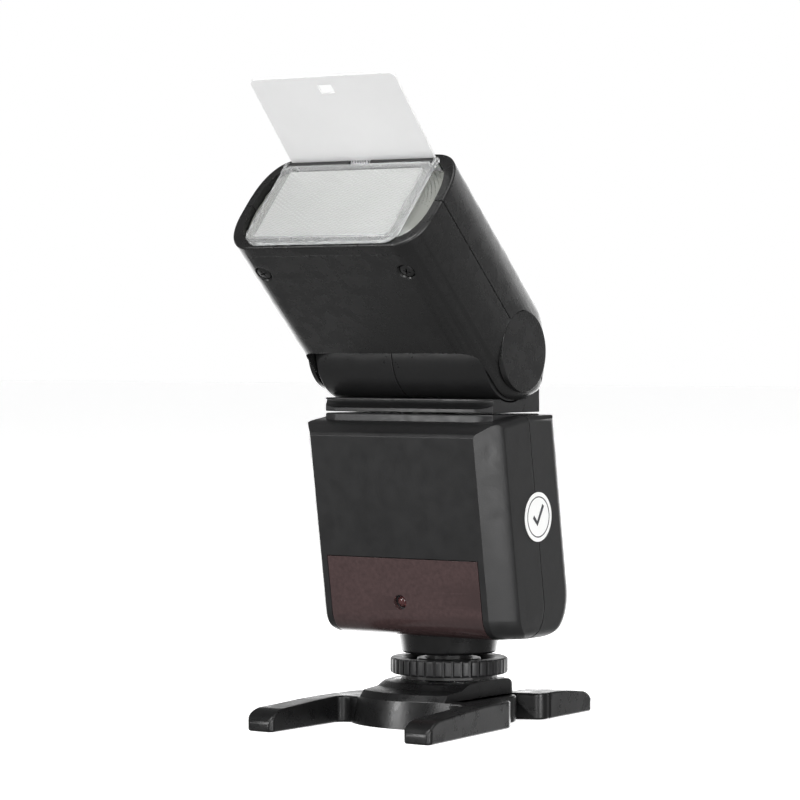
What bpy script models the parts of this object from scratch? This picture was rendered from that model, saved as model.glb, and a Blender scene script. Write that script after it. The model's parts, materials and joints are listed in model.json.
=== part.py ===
"""Speedlight flash standing on its mini stand, as an assembly of separate pieces.

Lengths are in millimetres and are scaled to metres when an object is made.
+X is to the right seen from the front, -Y is the front, +Z is up, and the stand rests on z = 0.
"""
import math

import bmesh
import bpy
from mathutils import Matrix, Vector

MM = 0.001
GAP = 0.3                    # clearance kept between neighbouring pieces
ORIGIN_Y = 10.63             # shoe axis behind the middle of the footprint
HALF_WIDTH = 31.0            # body and head
WALL = 2.0                   # casing walls

# mini stand and shoe
HUB_RADIUS = 26.2
DRUM_RADIUS = 27.2           # at the ground
HUB_WIDTH = 27.0             # of the raised deck
DRUM_WIDTH = 33.2
LEG_TOP = 7.1
LEG_WIDTH = 8.4
SHOE_WIDTH = 22.4
SHOE_LENGTH = 20.0
SHOE_TOP = 11.3
PLATE_SIZE = (18.5, 17.8)    # standard flash foot
RING_RADIUS = 15.76
RING_BOTTOM = 12.7
RING_TOP = 16.9
RING_TEETH = 40
STEM_RADIUS = 6.0

# body
LEAN = math.radians(9.0)     # the body leans forward towards its top
LEAN_SLOPE = math.tan(LEAN)
LEAN_Z = 48.7                # height at which the depths below are measured
BODY_FRONT = -23.4
BODY_REAR = 11.5
BODY_BOTTOM = 23.5
BODY_TOP = 82.0
FRONT_EDGE_Z = 76.45         # top of the front face, from where the top slopes up
SHOULDER = ((16.9, 5.3), (9.8, 4.4), (5.5, 3.85), (2.8, 2.6))    # top's slope, from its front edge
STRIP = (5.2, 7.2)           # width and depth of the strip between the front face and the side
SEAM_Y = -4.2
SEAM_ARC = 9.0
WINDOW_HALF = 23.8
WINDOW_TOP = -0.8            # in the leaning frame
SENSOR_AT = (-1.6, -12.6)
DOOR_Y = (-20.2, -5.6)       # battery door, in the leaning frame
DOOR_Z = (-17.6, 13.0)

# neck
PAN_Y = -9.2
NECK_HALF = 26.6
NECK_DEPTH = 12.2
NECK_CORNER = (4.6, 1.9)     # shallow chamfer at the front corners
COVE = 2.4                   # depth of the hollow along the flange's front
NECK_BOTTOM = 82.75
FLANGE_TOP = 86.4
BARREL_RADIUS = 13.0
BARREL_SEAM = -2.1
PIVOT_Y = -11.2
PIVOT_Z = 98.7

# head, measured from the tilt axis: u towards the lens, v towards the bounce card
HEAD_TILT = math.radians(43.0)
HEAD_LENGTH = 53.9
HEAD_BOTTOM = -13.9
HEAD_TOP = 18.8
HEAD_REAR = 14.2
HEAD_SEAM = 1.5
RECESS_HALF = 27.3
RECESS_END = 14.2
RIM = 2.6
CARD_WIDTH = 45.0
CARD_LENGTH = 36.0
CARD_THICK = 0.6
CARD_SLOPE = math.radians(4.3)


# ---------------------------------------------------------------- helpers

def clear_scene():
    for obj in list(bpy.data.objects):
        bpy.data.objects.remove(obj, do_unlink=True)


def material(name, colour, roughness, metallic=0.0, alpha=1.0):
    mat = bpy.data.materials.new(name)
    mat.use_nodes = True
    shader = mat.node_tree.nodes["Principled BSDF"]
    shader.inputs["Base Color"].default_value = (*colour, 1.0)
    shader.inputs["Roughness"].default_value = roughness
    shader.inputs["Metallic"].default_value = metallic
    shader.inputs["Alpha"].default_value = alpha
    return mat


def empty(name, at, parent=None, turn_x=0.0):
    """An empty is a frame that pieces are placed in."""
    obj = bpy.data.objects.new(name, None)
    bpy.context.collection.objects.link(obj)
    obj.parent = parent
    obj.location = Vector(at) * MM
    obj.rotation_euler = (turn_x, 0.0, 0.0)
    return obj


def make(name, mesh_mm, mat, parent, at=(0.0, 0.0, 0.0), sharp=35.0):
    """Turn a bmesh in millimetres, drawn in its parent's frame, into an object with its origin at 'at'."""
    bmesh.ops.remove_doubles(mesh_mm, verts=mesh_mm.verts, dist=1e-5)
    bmesh.ops.recalc_face_normals(mesh_mm, faces=mesh_mm.faces)
    mesh_mm.transform(Matrix.Scale(MM, 4) @ Matrix.Translation(-Vector(at)))
    mesh = bpy.data.meshes.new(name)
    mesh_mm.to_mesh(mesh)
    mesh_mm.free()
    obj = bpy.data.objects.new(name, mesh)
    bpy.context.collection.objects.link(obj)
    obj.parent = parent
    obj.location = Vector(at) * MM
    if mat is None:
        obj.hide_render = True
        obj.display_type = "WIRE"
    else:
        mesh.materials.append(mat)
        mesh.shade_smooth()
        mesh.set_sharp_from_angle(angle=math.radians(sharp))
    return obj


def boolean(obj, operation, name, tool_mesh, parent):
    """Add one Boolean step with a hidden tool of its own."""
    tool = make(name, tool_mesh, None, parent)
    step = obj.modifiers.new(name, "BOOLEAN")
    step.operation = operation
    step.object = tool
    step.solver = "EXACT"


def cut(obj, name, tool_mesh, parent):
    boolean(obj, "DIFFERENCE", "cut_" + name, tool_mesh, parent)


def keep(obj, name, tool_mesh, parent):
    boolean(obj, "INTERSECT", "keep_" + name, tool_mesh, parent)


def weld(obj, name, tool_mesh, parent):
    boolean(obj, "UNION", "weld_" + name, tool_mesh, parent)


# ---------------------------------------------------------------- shapes

def loft(rings):
    """A closed solid through rings of points, with flat ends."""
    bm = bmesh.new()
    rows = [[bm.verts.new(p) for p in ring] for ring in rings]
    count = len(rows[0])
    for low, high in zip(rows, rows[1:]):
        for i in range(count):
            j = (i + 1) % count
            bm.faces.new((low[i], low[j], high[j], high[i]))
    bm.faces.new(rows[0][::-1])
    bm.faces.new(rows[-1])
    return bm


def place(axis, a, b, along):
    """A point from its two outline coordinates and its place along the given axis."""
    if axis == "X":
        return (along, a, b)
    if axis == "Y":
        return (a, along, b)
    return (a, b, along)


def prism(outline, low, high, axis="Z"):
    return loft([[place(axis, a, b, level) for a, b in outline] for level in (low, high)])


def box(x, y, z):
    return prism([(x[0], y[0]), (x[1], y[0]), (x[1], y[1]), (x[0], y[1])], z[0], z[1])


def circle(radius, count, centre=(0.0, 0.0)):
    steps = [2 * math.pi * (i + 0.5) / count for i in range(count)]
    return [(centre[0] + radius * math.cos(t), centre[1] + radius * math.sin(t)) for t in steps]


def cylinder(radius, low, high, axis="Z", centre=(0.0, 0.0), count=24):
    return prism(circle(radius, count, centre), low, high, axis)


def turned(profile, axis="Z", centre=(0.0, 0.0), count=32):
    """A solid of revolution from (radius, place along the axis) points, closed by flat ends."""
    rings = []
    for radius, level in profile:
        rings.append([place(axis, a, b, level) for a, b in circle(radius, count, centre)])
    return loft(rings)


def tube(profile, axis="Z", centre=(0.0, 0.0), count=32):
    """A ring of revolution: the profile is a closed loop that doesn't touch the axis."""
    bm = bmesh.new()
    rows = []
    for radius, level in profile:
        rows.append([bm.verts.new(place(axis, a, b, level)) for a, b in circle(radius, count, centre)])
    for low, high in zip(rows, rows[1:] + rows[:1]):
        for i in range(count):
            j = (i + 1) % count
            bm.faces.new((low[i], low[j], high[j], high[i]))
    return bm


def arc(centre, radius, start, end, steps):
    """Points on an arc, in degrees; a pair of radii makes it elliptical."""
    rx, ry = radius if isinstance(radius, tuple) else (radius, radius)
    points = []
    for i in range(steps + 1):
        t = math.radians(start + (end - start) * i / steps)
        points.append((centre[0] + rx * math.cos(t), centre[1] + ry * math.sin(t)))
    return points


def rounded(half_a, half_b, radius, steps=3, centre=(0.0, 0.0)):
    """A rounded rectangle."""
    points = []
    for k, (sa, sb) in enumerate(((1, 1), (-1, 1), (-1, -1), (1, -1))):
        corner = (centre[0] + sa * (half_a - radius), centre[1] + sb * (half_b - radius))
        points += arc(corner, radius, 90 * k, 90 * k + 90, steps)
    return points


# ---------------------------------------------------------------- mini stand

def leg_outline(side, tip_y, tip_x, root):
    """The plan of one leg: root points, then its tip, wide LEG_WIDTH, with rounded corners."""
    forward = -1 if tip_y < 0 else 1
    radius = 1.6
    inner, outer = tip_x, tip_x + LEG_WIDTH
    tip = [(inner, tip_y - forward * radius), (inner + radius, tip_y),
           (outer - radius, tip_y), (outer, tip_y - forward * radius)]
    return [(side * x, y) for x, y in tip + root]


def leg_profile():
    """Side view of the stand's lower part: high at the hub, with noses at the tips."""
    front = arc((-46.0, 1.9), (6.2, 4.0), 180, 90, 5)
    rear = arc((33.5, 1.9), (6.2, 4.0), 90, 0, 5)
    return [(-52.2, 0.0)] + front + [(-24.0, LEG_TOP), (20.0, LEG_TOP)] + rear + [(39.7, 0.0)]


def hub():
    steps = [(DRUM_RADIUS, 0.0), (HUB_RADIUS, LEG_TOP), (HUB_RADIUS, 7.4), (24.8, 8.9), (19.4, 9.6), (17.4, 10.8),
             (14.5, SHOE_TOP)]
    return turned(steps, count=64)


def mini_stand(root, plastic, metal, brass):
    plan = rounded(19.0, 9.5, 6.0, 4, (0.0, -1.5))
    base = make("stand_base", prism(plan, 0.0, LEG_TOP), plastic, root)
    front_root = [(25.4, -12.5)] + arc((19.0, -11.0), 6.4, 10, 75, 3) + [(10.0, -4.0), (12.0, -22.0)]
    front_root += arc((17.8, -23.9), 2.6, 126, 10, 3)
    rear_root = [(22.0, 16.0)] + arc((18.6, 14.6), 3.4, 20, -70, 3) + [(10.0, 8.0), (10.0, 20.0)]
    for side, name in ((-1, "left"), (1, "right")):
        weld(base, "front_leg_" + name, prism(leg_outline(side, -52.2, 20.4, front_root), 0.0, LEG_TOP), root)
        weld(base, "rear_leg_" + name, prism(leg_outline(side, 39.7, 12.6, rear_root), 0.0, LEG_TOP), root)
    keep(base, "leg_heights", prism(leg_profile(), -40.0, 40.0, "X"), root)
    high, low = HUB_WIDTH / 2, DRUM_WIDTH / 2
    plan = [(-low, -30.0), (low, -30.0), (low, 5.0), (high, 9.0), (high, 11.0), (high - 2.0, 13.0)]
    plan += [(2.0 - high, 13.0), (-high, 11.0), (-high, 9.0), (-low, 5.0)]
    front = [(-low, -1.0), (low, -1.0), (low, LEG_TOP), (high, LEG_TOP), (high, 13.0), (-high, 13.0),
             (-high, LEG_TOP), (-low, LEG_TOP)]
    spine = make("tool_spine", hub(), None, root)
    keep(spine, "deck_plan", prism(plan, -1.0, 13.0), root)
    keep(spine, "deck_front", prism(front, -40.0, 40.0, "Y"), root)
    side = [(-40.0, -1.0), (12.9, -1.0), (12.9, LEG_TOP), (11.3, 9.4), (8.4, SHOE_TOP), (8.0, 13.0),
            (-40.0, 13.0)]
    keep(spine, "deck_rear", prism(side, -40.0, 40.0, "X"), root)
    step = base.modifiers.new("spine", "BOOLEAN")
    step.operation = "UNION"
    step.object = spine
    half, rear = SHOE_WIDTH / 2 + GAP, SHOE_LENGTH / 2 + 12.0
    cut(base, "shoe_pocket", box((-half, half), (-SHOE_LENGTH / 2 - GAP, rear), (6.2, 20.0)), root)
    cut(base, "insert_hole", cylinder(4.5, -1.0, 5.7), root)

    half = SHOE_WIDTH / 2
    shoe = make("cold_shoe", box((-half, half), (-SHOE_LENGTH / 2, SHOE_LENGTH / 2), (6.5, SHOE_TOP)), metal, root)
    cut(shoe, "slot", box((-9.5, 9.5), (-9.3, 30.0), (7.5, 9.95)), root)
    cut(shoe, "mouth", box((-6.5, 6.5), (-9.0, 30.0), (9.0, 20.0)), root)
    tripod = tube([(2.55, 0.4), (4.2, 0.4), (4.2, 5.4), (2.55, 5.4)], count=24)
    make("tripod_insert", tripod, brass, root)


# ---------------------------------------------------------------- foot

def foot(root, metal, plastic, gold):
    half_x, half_y = PLATE_SIZE[0] / 2, PLATE_SIZE[1] / 2
    plate = prism(rounded(half_x, half_y, 1.2, 2), 7.9, 9.65)
    piece = make("hot_shoe_foot", plate, metal, root)
    weld(piece, "stem", turned([(STEM_RADIUS, 9.0), (STEM_RADIUS, 20.6)], count=32), root)
    cut(piece, "contact_pocket", box((-6.4, 6.4), (-4.6, 4.2), (7.0, 8.9)), root)
    cut(piece, "pin_bore", cylinder(1.2, 7.0, 12.0, centre=(0.0, -7.4), count=16), root)

    block = make("contact_block", box((-6.1, 6.1), (-4.3, 3.9), (8.0, 8.6)), plastic, root)
    for k, (x, y) in enumerate(((0.0, 0.0), (-4.2, -2.6), (4.2, -2.6), (-4.2, 2.2), (4.2, 2.2))):
        weld(block, "contact_%d" % k, turned([(0.5, 7.75), (0.9, 8.2)], centre=(x, y), count=12), root)

    collar = turned([(11.8, 18.2), (12.6, 18.6), (13.5, 23.2), (13.5, 33.0)], count=40)
    collar = make("foot_collar", collar, plastic, root)
    cut(collar, "body", body_solid(-GAP), root)
    cut(collar, "stem_bore", cylinder(STEM_RADIUS + GAP, 17.0, 22.0, count=32), root)

    pressure = tube([(STEM_RADIUS + GAP, 11.6), (13.0, 11.6), (13.0, 12.4), (STEM_RADIUS + GAP, 12.4)])
    pressure = make("lock_plate", pressure, metal, root)
    cut(pressure, "pin_hole", cylinder(1.2, 11.0, 13.0, centre=(0.0, -7.4), count=12), root)


def lock_ring(root, plastic, metal):
    count = 2 * RING_TEETH
    outline = []
    for i in range(count):
        for shift in (0.1, 0.9):
            t = 2 * math.pi * (i + shift) / count
            radius = RING_RADIUS if i % 2 else RING_RADIUS - 0.7
            outline.append((radius * math.cos(t), radius * math.sin(t)))
    ring = make("lock_ring", prism(outline, RING_BOTTOM, RING_TOP), plastic, root)
    cut(ring, "hollow", cylinder(12.2, 14.2, 20.0, count=40), root)
    cut(ring, "bore", cylinder(STEM_RADIUS + GAP, 10.0, 20.0, count=32), root)
    make("lock_pin", cylinder(0.9, 7.9, 11.3, centre=(0.0, -7.4), count=12), metal, root, (0.0, -7.4, 7.9))


# ---------------------------------------------------------------- body

def round_off(level, radius):
    """How far a wall lies inside its full depth, at a height above a rounded edge's lower end."""
    if level >= radius:
        return 0.0
    return radius - math.sqrt(max(radius ** 2 - (radius - level) ** 2, 0.0))


def side_strip(half, front, size, steps=4):
    """The narrow curved face between the front and the flat side: a quadratic curve from its crease."""
    wide, deep = STRIP[0] * size, STRIP[1] * size
    points = []
    for i in range(steps + 1):
        t = i / steps
        x = half - wide * ((1.0 - t) ** 2 + 2.0 * t * (1.0 - t) * 0.1)
        y = front + deep * (t ** 2 + 2.0 * t * (1.0 - t) * 0.75)
        points.append((x, y))
    return points


def body_outline(z, inset):
    """The body's section at one height, leaning with the body."""
    level = max(z - BODY_BOTTOM - inset, 0.0)
    half = HALF_WIDTH - inset - round_off(level, 2.6)
    front = BODY_FRONT + inset + round_off(level, 5.6 - 0.5 * inset)
    rear = BODY_REAR - inset - round_off(level, 12.5 - 0.5 * inset)
    back = (5.5 - 0.8 * inset, 5.0 - 0.8 * inset)
    points = side_strip(half, front, 1.0 - 0.12 * inset)
    points += arc((half - back[0], rear - back[1]), back, 0, 90, 4)
    points += [(-x, y) for x, y in reversed(points)]
    shift = LEAN_SLOPE * (z - LEAN_Z)
    return [(x, y - shift, z) for x, y in points]


def body_solid(inset):
    """The body's outer form, or its hollow for a positive inset, before the top is sloped."""
    low = BODY_BOTTOM + inset
    heights = [low + h for h in (0.0, 0.35, 1.2, 2.6, 5.6, 8.5, 12.5)] + [BODY_TOP + 4.0]
    return loft([body_outline(z, inset) for z in heights])


def body_side_profile(inset):
    """Side view that slopes the top down to the front edge."""
    top = BODY_TOP - inset
    front_z = FRONT_EDGE_Z - 1.08 * inset
    front = BODY_FRONT - LEAN_SLOPE * (FRONT_EDGE_Z - LEAN_Z)
    seam = SEAM_Y - LEAN_SLOPE * (BODY_TOP - LEAN_Z)
    slope = [(front + y, min(front_z + z, top - 0.2)) for y, z in SHOULDER]
    lip = arc((front + 1.75, front_z - 0.3), 1.75, 125, 178, 2)
    return [(-60.0, 0.0), (60.0, 0.0), (60.0, top), (seam, top)] + slope + lip + [(front - 10.0, front_z - 4.6)]


def front_region(grow):
    """Side view of what belongs to the front shell: ahead of the seam, which turns forward at the bottom."""
    low_z, high_z = 32.0, 100.0
    points = [(-60.0, high_z), (SEAM_Y - LEAN_SLOPE * (high_z - LEAN_Z) + grow, high_z)]
    seam = SEAM_Y - LEAN_SLOPE * (low_z - LEAN_Z)
    points += arc((seam - SEAM_ARC, low_z), SEAM_ARC + grow, 0, -90, 5)
    return points + [(-60.0, low_z - SEAM_ARC - grow)]


def casing(name, plastic, root):
    """Outer form with its neck pedestal, hollowed: both shells start from it."""
    shell = make(name, body_solid(0.0), plastic, root)
    keep(shell, name + "_top", prism(body_side_profile(0.0), -40.0, 40.0, "X"), root)
    weld(shell, name + "_pedestal", pedestal(78.0, 82.35), root)
    hollow = make("tool_hollow_" + name, body_solid(WALL), None, root)
    keep(hollow, name + "_ceiling", prism(body_side_profile(WALL), -40.0, 40.0, "X"), root)
    step = shell.modifiers.new("hollow", "BOOLEAN")
    step.operation = "DIFFERENCE"
    step.object = hollow
    cut(shell, name + "_pan_bore", cylinder(8.0, 70.0, 90.0, centre=(0.0, PAN_Y), count=32), root)
    return shell


def neck_outline(shrink=0.0):
    """The neck's rectangular plan with chamfered front corners."""
    half, rear, front = NECK_HALF - shrink, PAN_Y + NECK_DEPTH - shrink, PAN_Y - NECK_DEPTH + shrink
    wide, deep = NECK_CORNER
    return [(half, rear), (-half, rear), (-half, front + deep), (wide - half, front),
            (half - wide, front), (half, front + deep)]


def cove_profile(front):
    """The hollow along the flange's front: deepest below its upper lip."""
    curve = arc((front, FLANGE_TOP - 0.45), (COVE, 2.2), -10, -80, 3)
    return [(front - 2.0, FLANGE_TOP - 0.45), (front + COVE, FLANGE_TOP - 0.45)] + curve + [
        (front - 2.0, FLANGE_TOP - 2.75)]


def pedestal(low, high):
    return prism(neck_outline(), low, high)


def shells(root, lean, plastic):
    front = casing("body_front_shell", plastic, root)
    keep(front, "front_region", prism(front_region(0.0), -40.0, 40.0, "X"), root)
    half = WINDOW_HALF + GAP
    cut(front, "window", box((-half, half), (-40.0, -17.6), (-40.0, WINDOW_TOP + GAP)), lean)
    cut(front, "door", door_region(GAP), lean)

    rear = casing("body_rear_shell", plastic, root)
    cut(rear, "front_region", prism(front_region(GAP), -40.0, 40.0, "X"), root)
    return rear


def window(root, lean, red, glass):
    piece = make("signal_window", body_solid(0.0), red, root)
    cut(piece, "window_back", body_solid(1.8), root)
    keep(piece, "window_field", box((-WINDOW_HALF, WINDOW_HALF), (-40.0, -17.9),
                                    (-40.0, WINDOW_TOP)), lean)
    cut(piece, "sensor_hole", cylinder(2.0, -40.0, -10.0, "Y", SENSOR_AT, 20), lean)
    lens = turned([(0.7, -23.0), (1.35, -22.7), (1.7, -22.0), (1.7, -20.6)], "Y", SENSOR_AT, 20)
    make("sensor_lens", lens, glass, lean, (SENSOR_AT[0], -22.0, SENSOR_AT[1]))


def lean_y(y, z):
    """Depth from the shoe axis of a point given in the leaning frame."""
    return y * math.cos(LEAN) - z * math.sin(LEAN)


def lean_z(y, z):
    """Height of a point given in the leaning frame."""
    return LEAN_Z + y * math.sin(LEAN) + z * math.cos(LEAN)


def door_region(grow):
    """The door's field on the left side, in the leaning frame."""
    return box((-40.0, -20.0), (DOOR_Y[0] - grow, DOOR_Y[1] + grow), (DOOR_Z[0] - grow, DOOR_Z[1] + grow))


def battery_parts(root, lean, plastic, metal, wrap, green):
    middle = (DOOR_Y[0] + DOOR_Y[1]) / 2
    hinge = (-HALF_WIDTH, lean_y(middle, DOOR_Z[0]), lean_z(middle, DOOR_Z[0]))
    door = make("battery_door", body_solid(0.0), plastic, root, hinge)
    cut(door, "door_back", body_solid(WALL - 0.2), root)
    keep(door, "door_field", door_region(0.0), lean)
    make("door_contact", box((-27.9, -27.5), (-16.0, -7.0), (-15.0, 10.0)), metal, lean)
    for k, level in enumerate((-10.2, 5.0)):
        cell = turned([(2.6, 24.2), (2.8, 23.2), (6.9, 23.2), (7.1, 22.6), (7.1, -25.7), (6.6, -26.4)],
                      "X", (-12.4, level), 24)
        make("battery_cell_%d" % (k + 1), cell, wrap, lean)
    make("battery_contact", box((24.6, 25.1), (-17.0, -8.0), (-16.0, 11.0)), metal, lean)
    make("main_board", box((-26.5, 26.5), (0.2, 1.8), (-15.0, 24.0)), green, lean)
    can = turned([(5.6, -20.0), (6.3, -19.4), (6.3, 19.4), (5.6, 20.0)], "X", (-12.5, 19.2), 24)
    make("flash_capacitor", can, wrap, lean)
    ring = tube([(7.8, 73.6), (10.4, 73.6), (10.4, 75.0), (7.8, 75.0)], centre=(0.0, PAN_Y), count=24)
    make("pan_retainer", ring, metal, root)


# ---------------------------------------------------------------- rear panel

BUTTONS = {"button_upper_left": (-20.5, 5.6), "button_upper_right": (20.5, 5.6),
           "button_lower_left": (-20.5, -2.6), "button_lower_right": (20.5, -2.6)}
DIAL_AT = (0.0, -1.2)
TEST_AT = (20.5, -10.6)
SWITCH_AT = (-19.5, -10.6)
PORT_AT = (4.0, -1.0)


def rear_panel(shell, lean, plastic, rubber, glass, metal):
    """Display, buttons, dial and switch on the leaning rear face."""
    face = BODY_REAR * math.cos(LEAN)
    make("lcd_window", prism(rounded(19.0, 10.0, 1.5, 2, (0.0, 19.6)), face - 1.0, face + 0.2, "Y"), glass, lean)
    cut(shell, "lcd", prism(rounded(19.3, 10.3, 1.8, 2, (0.0, 19.6)), 5.0, 20.0, "Y"), lean)
    make("lcd_module", box((-18.5, 18.5), (6.4, face - 1.4), (10.6, 28.6)), metal, lean)
    for name, (x, z) in BUTTONS.items():
        cap = prism(rounded(3.4, 1.9, 1.8, 3, (x, z)), 7.6, face + 0.8, "Y")
        make(name, cap, rubber, lean, (x, face, z))
        cut(shell, name, prism(rounded(3.7, 2.2, 2.1, 3, (x, z)), 5.0, 20.0, "Y"), lean)
    dial = tube([(4.9, 9.8), (9.2, 9.8), (9.2, face + 1.3), (8.7, face + 1.7), (5.3, face + 1.7),
                 (4.9, face + 1.3)], "Y", DIAL_AT, 36)
    make("select_dial", dial, rubber, lean, (DIAL_AT[0], face, DIAL_AT[1]))
    cut(shell, "dial", cylinder(9.5, 5.0, 20.0, "Y", DIAL_AT, 36), lean)
    middle = turned([(4.5, 7.6), (4.5, face + 1.0), (4.1, face + 1.4)], "Y", DIAL_AT, 28)
    make("set_button", middle, rubber, lean, (DIAL_AT[0], face, DIAL_AT[1]))
    test = turned([(2.8, 7.6), (2.8, face + 0.5), (2.5, face + 0.8)], "Y", TEST_AT, 24)
    make("test_button", test, rubber, lean, (TEST_AT[0], face, TEST_AT[1]))
    cut(shell, "test", cylinder(3.1, 5.0, 20.0, "Y", TEST_AT, 24), lean)
    x, z = SWITCH_AT
    make("power_switch", prism(rounded(2.2, 1.6, 0.6, 2, (x - 2.0, z)), 8.0, face + 1.2, "Y"), rubber, lean,
         (x - 2.0, face, z))
    cut(shell, "switch", box((x - 4.6, x + 4.6), (5.0, 20.0), (z - 1.9, z + 1.9)), lean)


def side_port(shell, lean, rubber, metal):
    """Data socket behind a rubber cover on the left side, hinged at its front edge."""
    y, z = PORT_AT
    cut(shell, "port_recess", prism(rounded(3.3, 5.3, 0.9, 2, (y, z)), -40.0, -29.7, "X"), lean)
    cut(shell, "port_hole", box((-40.0, -25.0), (y - 1.9, y + 1.9), (z - 4.1, z + 4.1)), lean)
    make("port_cover", prism(rounded(3.0, 5.0, 0.8, 2, (y, z)), -30.9, -30.0, "X"), rubber, lean,
         (-30.95, y - 3.0, z))
    socket = make("data_socket", box((-29.4, -24.0), (y - 1.6, y + 1.6), (z - 3.8, z + 3.8)), metal, lean)
    cut(socket, "socket_mouth", box((-40.0, -25.0), (y - 1.1, y + 1.1), (z - 3.3, z + 3.3)), lean)


# ---------------------------------------------------------------- neck

def neck(pan, tilt, plastic, metal):
    plan = [(x, y - PAN_Y) for x, y in neck_outline()]
    base = make("neck_base", prism(plan, NECK_BOTTOM, FLANGE_TOP), plastic, pan)
    cut(base, "cove", prism(cove_profile(-NECK_DEPTH), -40.0, 40.0, "X"), pan)
    rear = NECK_DEPTH
    weld(base, "rear_block", box((-NECK_HALF, NECK_HALF), (rear - 6.5, rear - 0.05), (84.0, 92.0)), pan)
    barrel_y = PIVOT_Y - PAN_Y
    cut(base, "barrel_seat", cylinder(BARREL_RADIUS + GAP, -40.0, 40.0, "X", (barrel_y, PIVOT_Z), 48), pan)
    weld(base, "spigot", cylinder(7.5, 72.8, NECK_BOTTOM + 1.0, count=28), pan)
    cut(base, "wire_way", cylinder(5.0, 60.0, 90.0, count=20), pan)
    for side, name in ((-1, "left"), (1, "right")):
        wall = sorted((side * 24.4, side * 26.8))
        span = sorted((BARREL_SEAM + side * GAP / 2, side * 26.8))
        inside = sorted((BARREL_SEAM - side * 1.0, side * 24.4))
        half = make("neck_half_" + name, cylinder(BARREL_RADIUS, span[0], span[1], "X", count=48), plastic, tilt)
        cut(half, "inside_" + name, cylinder(BARREL_RADIUS - WALL, inside[0], inside[1], "X", count=40), tilt)
        cut(half, "bore_" + name, cylinder(5.3, wall[0] - 1.0, wall[1] + 1.0, "X", count=24), tilt)
        cut(half, "wires_" + name, box((-7.0, 7.0), (barrel_wire(-7.0), barrel_wire(7.0)), (-20.0, -5.0)), tilt)
        ends = (22.0, 23.9) if side > 0 else (-22.0, -23.9)
        axle = turned([(7.0, ends[0]), (7.0, ends[1]), (4.95, ends[1]), (4.95, side * 29.1)], "X", count=28)
        make("tilt_axle_" + name, axle, metal, tilt)
    make("tilt_detent", tube([(5.6, 20.2), (9.6, 20.2), (9.6, 21.4), (5.6, 21.4)], "X", count=24), metal, tilt)


def barrel_wire(y):
    """A depth on the pan axis, measured from the tilt axis."""
    return y + PAN_Y - PIVOT_Y


# ---------------------------------------------------------------- head

def head_outline(inset, squeeze=1.0, narrow=0.0, steps=6):
    """The head's section: large soft lower corners and tighter upper ones, as superellipse arcs."""
    half = HALF_WIDTH - inset - narrow
    low, high = (HEAD_BOTTOM + inset) * squeeze, (HEAD_TOP - inset) * squeeze
    points = []
    for (a, b), level, start, power in (((9.0, 13.9), low, -90, 2.4), ((10.1, 17.0), high, 0, 2.5)):
        a, b = a - 0.5 * inset, (b - 0.7 * inset) * squeeze
        sign = -1 if start < 0 else 1
        for i in range(steps + 1):
            t = math.radians(start + 90 * i / steps)
            x = half - a + a * abs(math.cos(t)) ** (2 / power)
            points.append((x, level - sign * b + sign * b * abs(math.sin(t)) ** (2 / power)))
    return points + [(-x, v) for x, v in reversed(points)]


def head_solid(inset, start, end):
    """The head's form between two places along its length; its rear end is rounded about the tilt axis."""
    places = [p for p in (-13.9, -13.0, -11.4, -8.8, -5.0, 0.0) if p > start]
    rings = []
    for u in [start] + places + [end]:
        squeeze = math.sqrt(max(1.0 - (min(u, 0.0) / HEAD_REAR) ** 2, 0.001))
        rings.append([(x, v, u) for x, v in head_outline(inset, squeeze, 2.2 * (1.0 - squeeze))])
    return loft(rings)


def head_casing(name, tilt, card, plastic):
    """Outer form, hollowed, open at the lens, cleared round the neck: both shells start from it."""
    shell = make(name, head_solid(0.0, -14.15, HEAD_LENGTH), plastic, tilt)
    cut(shell, name + "_hollow", head_solid(WALL, 15.0, 51.0), tilt)
    cut(shell, name + "_opening", head_solid(RIM, 49.0, 60.0), tilt)
    cut(shell, name + "_barrel", cylinder(BARREL_RADIUS + 0.4, -RECESS_HALF, RECESS_HALF, "X", count=48), tilt)
    field = rounded(RECESS_HALF - 0.06, 20.0, 5.0, 3, (0.0, RECESS_END - 20.0))
    cut(shell, name + "_recess", prism(field, -20.0, 0.0, "Y"), tilt)
    half = RECESS_HALF + 0.06
    cut(shell, name + "_rear_slot", box((-half, half), (-19.0, 15.8), (-21.0, -6.3)), tilt)
    for side in (-1, 1):
        counter = sorted((side * 29.3, side * 40.0))
        bore = sorted((side * 25.0, side * 40.0))
        cut(shell, "%s_cap_%d" % (name, side), cylinder(10.9, counter[0], counter[1], "X", count=40), tilt)
        cut(shell, "%s_bore_%d" % (name, side), cylinder(5.25, bore[0], bore[1], "X", count=28), tilt)
    cut(shell, name + "_card_slot", box((-23.0, 23.0), (-1.8, 0.9), (-8.0, 6.0)), card)
    return shell


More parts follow.
